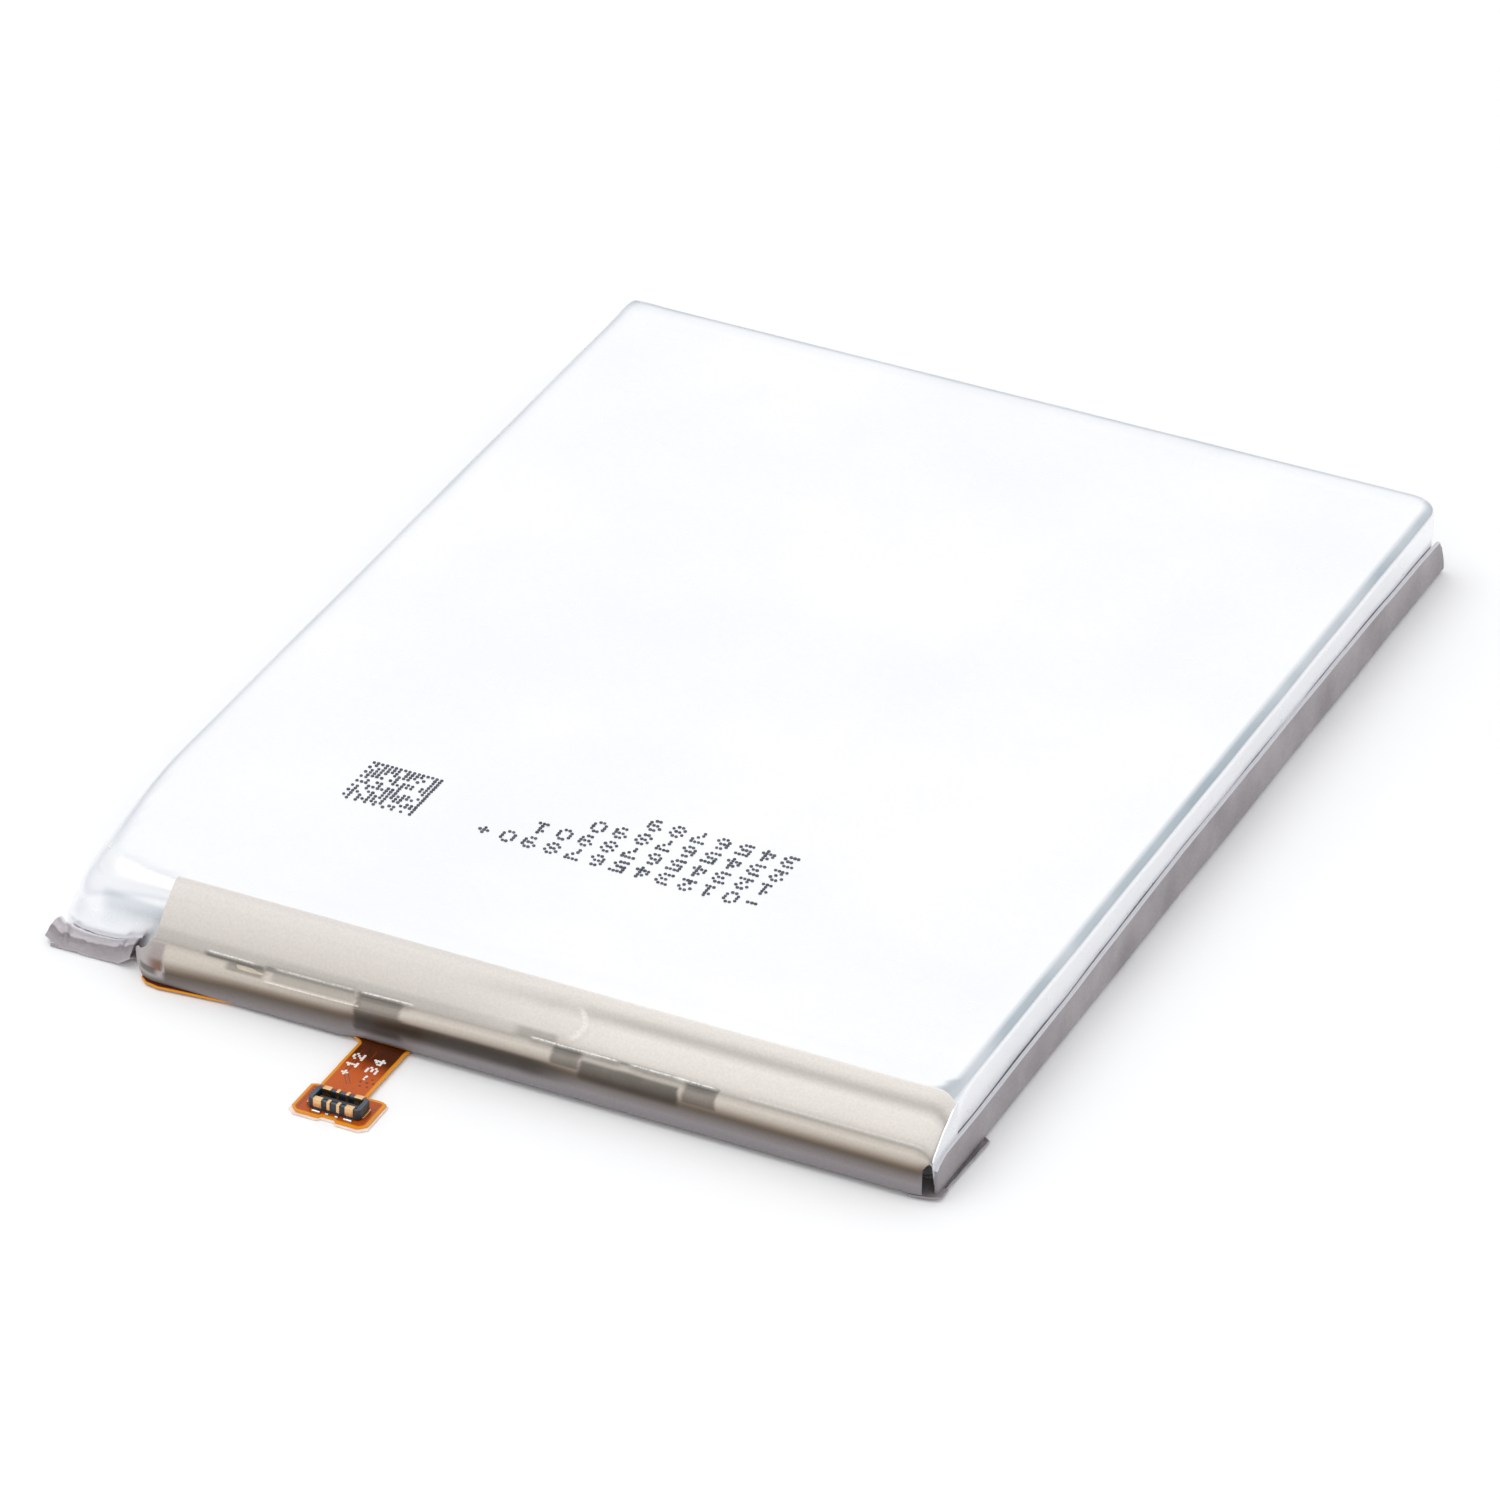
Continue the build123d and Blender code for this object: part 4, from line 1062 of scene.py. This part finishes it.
FLANGE_TOP = (
    (-41.5, 1.3), (-40.5, 2.1), (-39.5, 2.45), (-34.5, 2.45), (-28.0, 2.6), (-22.0, 2.66), (-16.0, 2.9),
    (-10.0, 3.05),
    (-4.0, 3.2), (22.0, 3.15), (29.0, 3.0), (35.0, 2.86), (39.0, 2.6),
)


def side_seal(side, low, high):
    """The folded seal on one side: a foot under the cup's edge and a wavy trimmed flange up its wall."""
    outer = high.x if side > 0 else -low.x
    path = rounded_path([(CUP_HALF_WIDTH - 0.4, 0.0), (outer, 0.0), (outer, high.z)], [0.45])

    def place(u, v):
        y = low.y + (high.y - low.y) * u
        flat, _ = walk(path, v)
        end = 1 - smooth(0.0, 1.0, high.y - y)
        front = 1 - smooth(-40.7, -39.2, y)
        top = 1 + 0.012 * ripple(y, side, 8.0, 2.0) + 0.008 * ripple(y, side, 2.0, 5.0) - 0.22 * end**2
        top *= along_line(FLANGE_TOP, y) / high.z if side > 0 else 0.10 + 0.85 * smooth(-38.5, -22.0, y)
        y -= 0.35 * end * (flat.y / 3) ** 2
        bow = 0.05 * (ripple(y, flat.y, 9.0, side * 3.0) + 0.3) * band(0.4, 1.8, 0.8, flat.y)
        bow += 0.05 * ripple(y, flat.y, 0.8, 2.4) * front * smooth(0, 1, flat.y)
        return side * (flat.x + bow - 0.075 * smooth(0.5, 3.0, flat.y)), y, flat.y * top

    return sheet(240, 26, place, side * SEAL)


for side, name in ((1, "side_seal_right"), (-1, "side_seal_left")):
    bm = side_seal(side, *box_mm(name))
    piece(name + "_film", bm, "pack", trimmed_laminate, [name])

_, seal_high = box_mm("side_seal_right")


def loose_flap(u, v):
    """The right seal's loose lower edge near the front corner."""
    y = -34.0 - 6.2 * u
    width = 0.40 * smooth(0.0, 0.04, u) * (1 - 0.55 * u) + 0.03
    curl = 0.08 * ripple(y, v, 0.9, 1.9)
    return seal_high.x - 0.05 + width * v, y, 0.12 + 0.16 * v * v + curl * v


piece("side_seal_flap", sheet(60, 8, loose_flap, 0.11), "pack", matte_laminate)


GUSSET_TOP = ((-41.0, 2.50), (-40.85, 2.80), (-39.3, 3.95), (-38.2, 4.65), (-37.4, 4.85))


def side_gusset(u, v):
    """The cup's side film drawn on past its front wall, beside the bar's right end."""
    y = -40.95 + 3.5 * u
    top = along_line(GUSSET_TOP, y)
    y += 0.40 * (1 - u) * (1 - v)
    return 29.24 + 0.03 * ripple(y, v * 4, 1.2, 7.3) * v, y, 0.80 + (top - 0.80) * v


def corner_tab(u, v):
    """The sealed margin's corner, which shows flat in front of the right seal."""
    x = 27.9 + 1.9 * u
    y = -39.9 - (1.45 - 0.35 * u * u) * v
    return x, y, 0.16 + 0.10 * u * v + 0.07 * ripple(x, y, 0.6, 4.4) * v


piece("corner_tab", sheet(30, 20, corner_tab, 0.12), "pack", matte_laminate)
piece(
    "side_gusset", sheet(30, 24, side_gusset, 0.08, shoulder=lambda u, v: 0), "pack",
    bright_laminate
)

# ---- folded foil corner at the front left ----
FOLD_EDGE = (
    (-29.75, 0.90), (-29.55, 1.20), (-29.0, 1.05), (-28.2, 0.85), (-27.0, 0.72), (-25.6, 0.80),
    (-24.0, 1.25)
)
FOLD_HEM = (
    (-29.85, 0.50), (-29.5, 0.36), (-28.9, 0.18), (-27.9, 0.22), (-26.2, 0.16), (-24.8, 0.25), (-24.0, 0.80)
)


def corner_fold(u, v):
    """The margin's corner creased over itself: a bright upper lip, a dark hem, and a tuck back underneath."""
    back_x = -29.62 + 5.62 * u
    front_x = -29.97 + 5.97 * u
    top, hem = along_line(FOLD_EDGE, back_x), along_line(FOLD_HEM, front_x)
    front_y = -40.62 + 0.25 * (1 - smooth(-29.9, -29.2, front_x))
    if v < 0.8:
        share = v / 0.8
        x = back_x + (front_x - back_x) * share
        back_y = (
            -CUP_HALF_LENGTH - FREE_FLARE - 0.02
            + 0.30 * (1 - smooth(-29.6, -29.1, x)) + 0.3 * smooth(-25.5, -24.0, x)
        )
        y = back_y + (front_y - back_y) * share**0.85
        z = top + (hem - top) * share**1.5 + 0.30 * math.sin(math.pi * share) * (0.2 + 0.8 * u)
    else:
        share = (v - 0.8) / 0.2
        x = front_x
        y = front_y + (-39.30 - front_y) * share
        z = hem + (0.14 - hem) * smooth(0, 1, share) - 0.03
    crumple = 0.16 * abs(ripple(x, y, 0.9, 2.7)) + 0.06 * ripple(x, y + z, 0.35, 6.6)
    ridge = (
        0.22 * math.exp(-(((x + 28.9 - 0.5 * v) / 0.14) ** 2))
        + 0.18 * math.exp(-(((x + 24.9) / 0.12) ** 2))
    )
    z += (crumple - 0.06 + ridge) * math.sin(math.pi * min(1.0, v / 0.8))
    return x, y - crumple * 0.5, max(0.13, z)


piece(
    "corner_fold_film", sheet(110, 60, corner_fold, 0.09), "pack", creased_laminate,
    ["corner_fold"]
)

# ---- flex tail ----
root_low, root_high = box_mm("flex_root_bend")
tail_low, tail_high = box_mm("flex_tail")
pad_low, pad_high = box_mm("connector_flex")
FLEX = tail_high.z - tail_low.z
FLEX_TOP = tail_high.z
PAD_CUT = 0.45
PAD_NOTCH_X, PAD_NOTCH_HALF, PAD_NOTCH = (pad_low.x + pad_high.x) / 2, 0.45, 0.22
PAD_BACK_CUT = 0.35


def tail_edges(y):
    """The tail's left and right edge at y: a fillet at the root, then nearly straight."""
    fillet = max(0.0, (y + 41.95) / (root_high.y + 41.95)) ** 2.2
    wave = 0.03 * ripple(y, 0, 1.1, 3.9)
    return tail_low.x - 0.60 * fillet + wave, tail_high.x + 0.03 * ripple(y, 0, 1.3, 7.1) + 0.08 * fillet


def flex_strip(back_y, front_y, columns, rows):
    """A stretch of the tail, with its edge distance and its darkening towards the bar, partly the solid metal
    under the coverlay and partly painted shade.
    """

    def at(u, v):
        y = back_y + (front_y - back_y) * v
        left, right = tail_edges(y)
        return left + (right - left) * u, y, FLEX_TOP

    def edge(u, v):
        x, y, _ = at(u, v)
        left, right = tail_edges(y)
        return min(x - left, right - x)

    def dark(u, v):
        x, y, _ = at(u, v)
        return smooth(-44.9, -41.3, y + 0.5 * (x - tail_low.x) / 3)

    return sheet(columns, rows, at, -FLEX, edge=edge, stain=dark)


def pad_front(x, grow=0.0):
    """The pad's front edge at x: cut corners and a shallow notch."""
    cut = max(0.0, PAD_CUT - (x - pad_low.x + grow)) + max(0.0, PAD_CUT - (pad_high.x - x + grow))
    return pad_low.y - grow + cut + PAD_NOTCH * band(-PAD_NOTCH_HALF, PAD_NOTCH_HALF, 0.12, x - PAD_NOTCH_X)


def pad_back(x):
    """The pad's back edge at x: rounded off beside the tail."""
    right_cut = max(0.0, PAD_BACK_CUT - (pad_high.x - x))
    left_cut = max(0.0, PAD_BACK_CUT - (x - pad_low.x))
    return pad_high.y - 0.5 * right_cut - 0.5 * left_cut


def pad_point(u, v):
    """The pad's upper face."""
    x = pad_low.x + (pad_high.x - pad_low.x) * u
    return x, pad_back(x) + (pad_front(x) - pad_back(x)) * v, FLEX_TOP


def pad_edge(u, v):
    """The distance to the pad's cut edge; the tail joins it at the back."""
    x, y, _ = pad_point(u, v)
    left, right = tail_edges(pad_high.y)
    beside = max(left - x, x - right)
    reach = pad_back(x) - y + (0.4 if beside < 0 else 0.0)
    return min(x - pad_low.x, pad_high.x - x, y - pad_front(x), reach)


_, run_high = box_mm("flex_run")
RUN_FRONT = (
    (-23.1, -40.6), (-22.8, -41.45), (-22.3, -41.85), (-21.4, -42.0), (-20.4, -41.88), (-19.3, -41.76),
    (-17.9, -41.62),
    (-16.5, -41.45), (-15.0, -41.2), (-4.0, -41.2),
)


def run_point(u, v):
    """The flex run's upper face, from under the bar out to its curved front edge."""
    x = -22.9 + (run_high.x + 22.9) * u
    return x, run_high.y + (along_line(RUN_FRONT, x) - run_high.y) * v, FLEX_TOP


def run_edge(u, v):
    """The distance to the run's front edge and to its left end."""
    x, y, _ = run_point(u, v)
    return 2.2 * min(y - along_line(RUN_FRONT, x), x + 22.9)


bm = sheet(180, 24, run_point, -FLEX, edge=run_edge, stain=lambda u, v: 0.75)
piece("run_strip", bm, "pack", polyimide_flex, ["flex_run"])

bm = flex_strip(root_high.y, root_low.y, 34, 14)
piece(
    "tail_root",
    bm,
    ("pack", "tail", (tail_low.x * MM, root_high.y * MM, 0), (tail_low.x * MM, root_low.y * MM, 0)),
    polyimide_flex,
    ["flex_root_bend"],
)
piece(
    "tail_strip", flex_strip(root_low.y, tail_low.y, 34, 42), "tail", polyimide_flex,
    ["flex_tail"]
)
bm = flex_strip(tail_low.y, pad_high.y, 34, 12)
piece(
    "tail_end",
    bm,
    ("tail", "connector_pad", (tail_low.x * MM, tail_low.y * MM, 0), (tail_low.x * MM, pad_high.y * MM, 0)),
    polyimide_flex,
    ["flex_end_bend"],
)
bm = sheet(60, 38, pad_point, -FLEX, edge=pad_edge, stain=lambda u, v: 0.12)
piece("pad_flex", bm, "connector_pad", polyimide_flex, ["connector_flex"])


def stiffener_point(u, v):
    """The stiffener's upper face, a little proud of the pad all round its free edges."""
    x = pad_low.x - 0.10 + (pad_high.x - pad_low.x + 0.20) * u
    inner = min(pad_high.x, max(pad_low.x, x))
    return x, pad_back(inner) + (pad_front(inner, 0.13) - pad_back(inner)) * v, tail_low.z - 0.004


stiff_low, stiff_high = box_mm("pad_stiffener")
bm = sheet(60, 38, stiffener_point, stiff_low.z - stiff_high.z + 0.008)
piece("pad_backing", bm, "connector_pad", stiffener_laminate, ["pad_stiffener"])

# ---- flex legends, vias and traces ----
LEGENDS = (("+12", -7.50), ("-34", -6.12))
LEGEND_START_Y, LEGEND_PITCH, LEGEND_DOT = -45.30, 0.95, 0.15
VIAS = (
    (-5.75, -45.05), (-5.35, -45.0), (-5.9, -45.45), (-5.5, -45.4), (-5.1, -45.35), (-5.75, -45.85),
    (-5.3, -45.8)
)
TRACES = (
    ((-7.30, -42.3), (-7.30, -44.9), (-6.55, -46.0)),
    ((-7.10, -42.3), (-7.10, -44.8), (-6.35, -45.9)),
    ((-6.45, -42.3), (-6.45, -44.3)),
)


def add_dot(bm, x, y, radius, height):
    """A low round dot on the flex."""
    place = Matrix.Translation(Vector((x, y, FLEX_TOP)) * MM)
    bmesh.ops.create_cone(
        bm, cap_ends=True, segments=8, radius1=radius * MM, radius2=radius * 0.85 * MM, depth=2 * height * MM,
        matrix=place,
    )


bm = bmesh.new()
for text, left_x in LEGENDS:
    for index, character in enumerate(text):
        for line, cells in enumerate(MARKS[character].split()):
            for cell, filled in enumerate(cells):
                if filled == "#":
                    y = LEGEND_START_Y + index * LEGEND_PITCH + cell * LEGEND_DOT * 1.1
                    add_dot(bm, left_x + line * LEGEND_DOT, y, LEGEND_DOT * 0.70, 0.012)
piece("tail_legend", bm, "tail", screened_ink, smooth_faces=False)

bm = bmesh.new()
for x, y in VIAS:
    add_dot(bm, x, y, 0.10, 0.014)
for trace in TRACES:
    for start, stop in zip(trace, trace[1:]):
        run = Vector(stop) - Vector(start)
        middle_point = (Vector(start) + Vector(stop)) / 2
        turn = Matrix.Rotation(math.atan2(run.y, run.x), 4, "Z")
        place = Matrix.Translation((*(middle_point * MM), FLEX_TOP * MM)) @ turn @ Matrix.Scale(MM, 4)
        bmesh.ops.create_cube(bm, size=1, matrix=place @ Matrix.Diagonal((run.length + 0.06, 0.06, 0.016, 1)))
piece("tail_traces", bm, "tail", etched_copper, smooth_faces=False)

bm = bmesh.new()
for side_x in (pad_low.x + 0.38, pad_high.x - 0.38):
    for step in range(9):
        add_dot(bm, side_x, pad_high.y - 0.45 - 0.26 * step, 0.06, 0.010)
piece("pad_vias", bm, "connector_pad", etched_copper, smooth_faces=False)

# ---- board-to-board connector ----
for node, radius, finish in (
    ("connector_housing", 0.05, connector_resin),
    ("power_contacts", 0.02, gold_plating),
    ("signal_contacts", 0.02, gold_plating),
    ("connector_anchors", 0.03, gold_plating),
    ("solder_joints", 0.03, tin_solder),
):
    piece(
        node + "_detail", softened(node, radius), "connector_pad", finish, [node],
        smooth_faces=False
    )

# ---- floor ----
floor_finish = surface(
    "studio_floor", "#fafafa", "#fcfcfc", patch=400.0, grain=2.0, rough=(0.7, 0.8), bump=0.0
)
bm = bmesh.new()
bmesh.ops.create_grid(bm, x_segments=8, y_segments=8, size=2.0)
floor_mesh = bpy.data.meshes.new("floor")
bm.to_mesh(floor_mesh)
bm.free()
floor_mesh.materials.append(floor_finish)
floor = bpy.data.objects.new("floor", floor_mesh)
bpy.context.scene.collection.objects.link(floor)
floor.location.z = -0.02 * MM
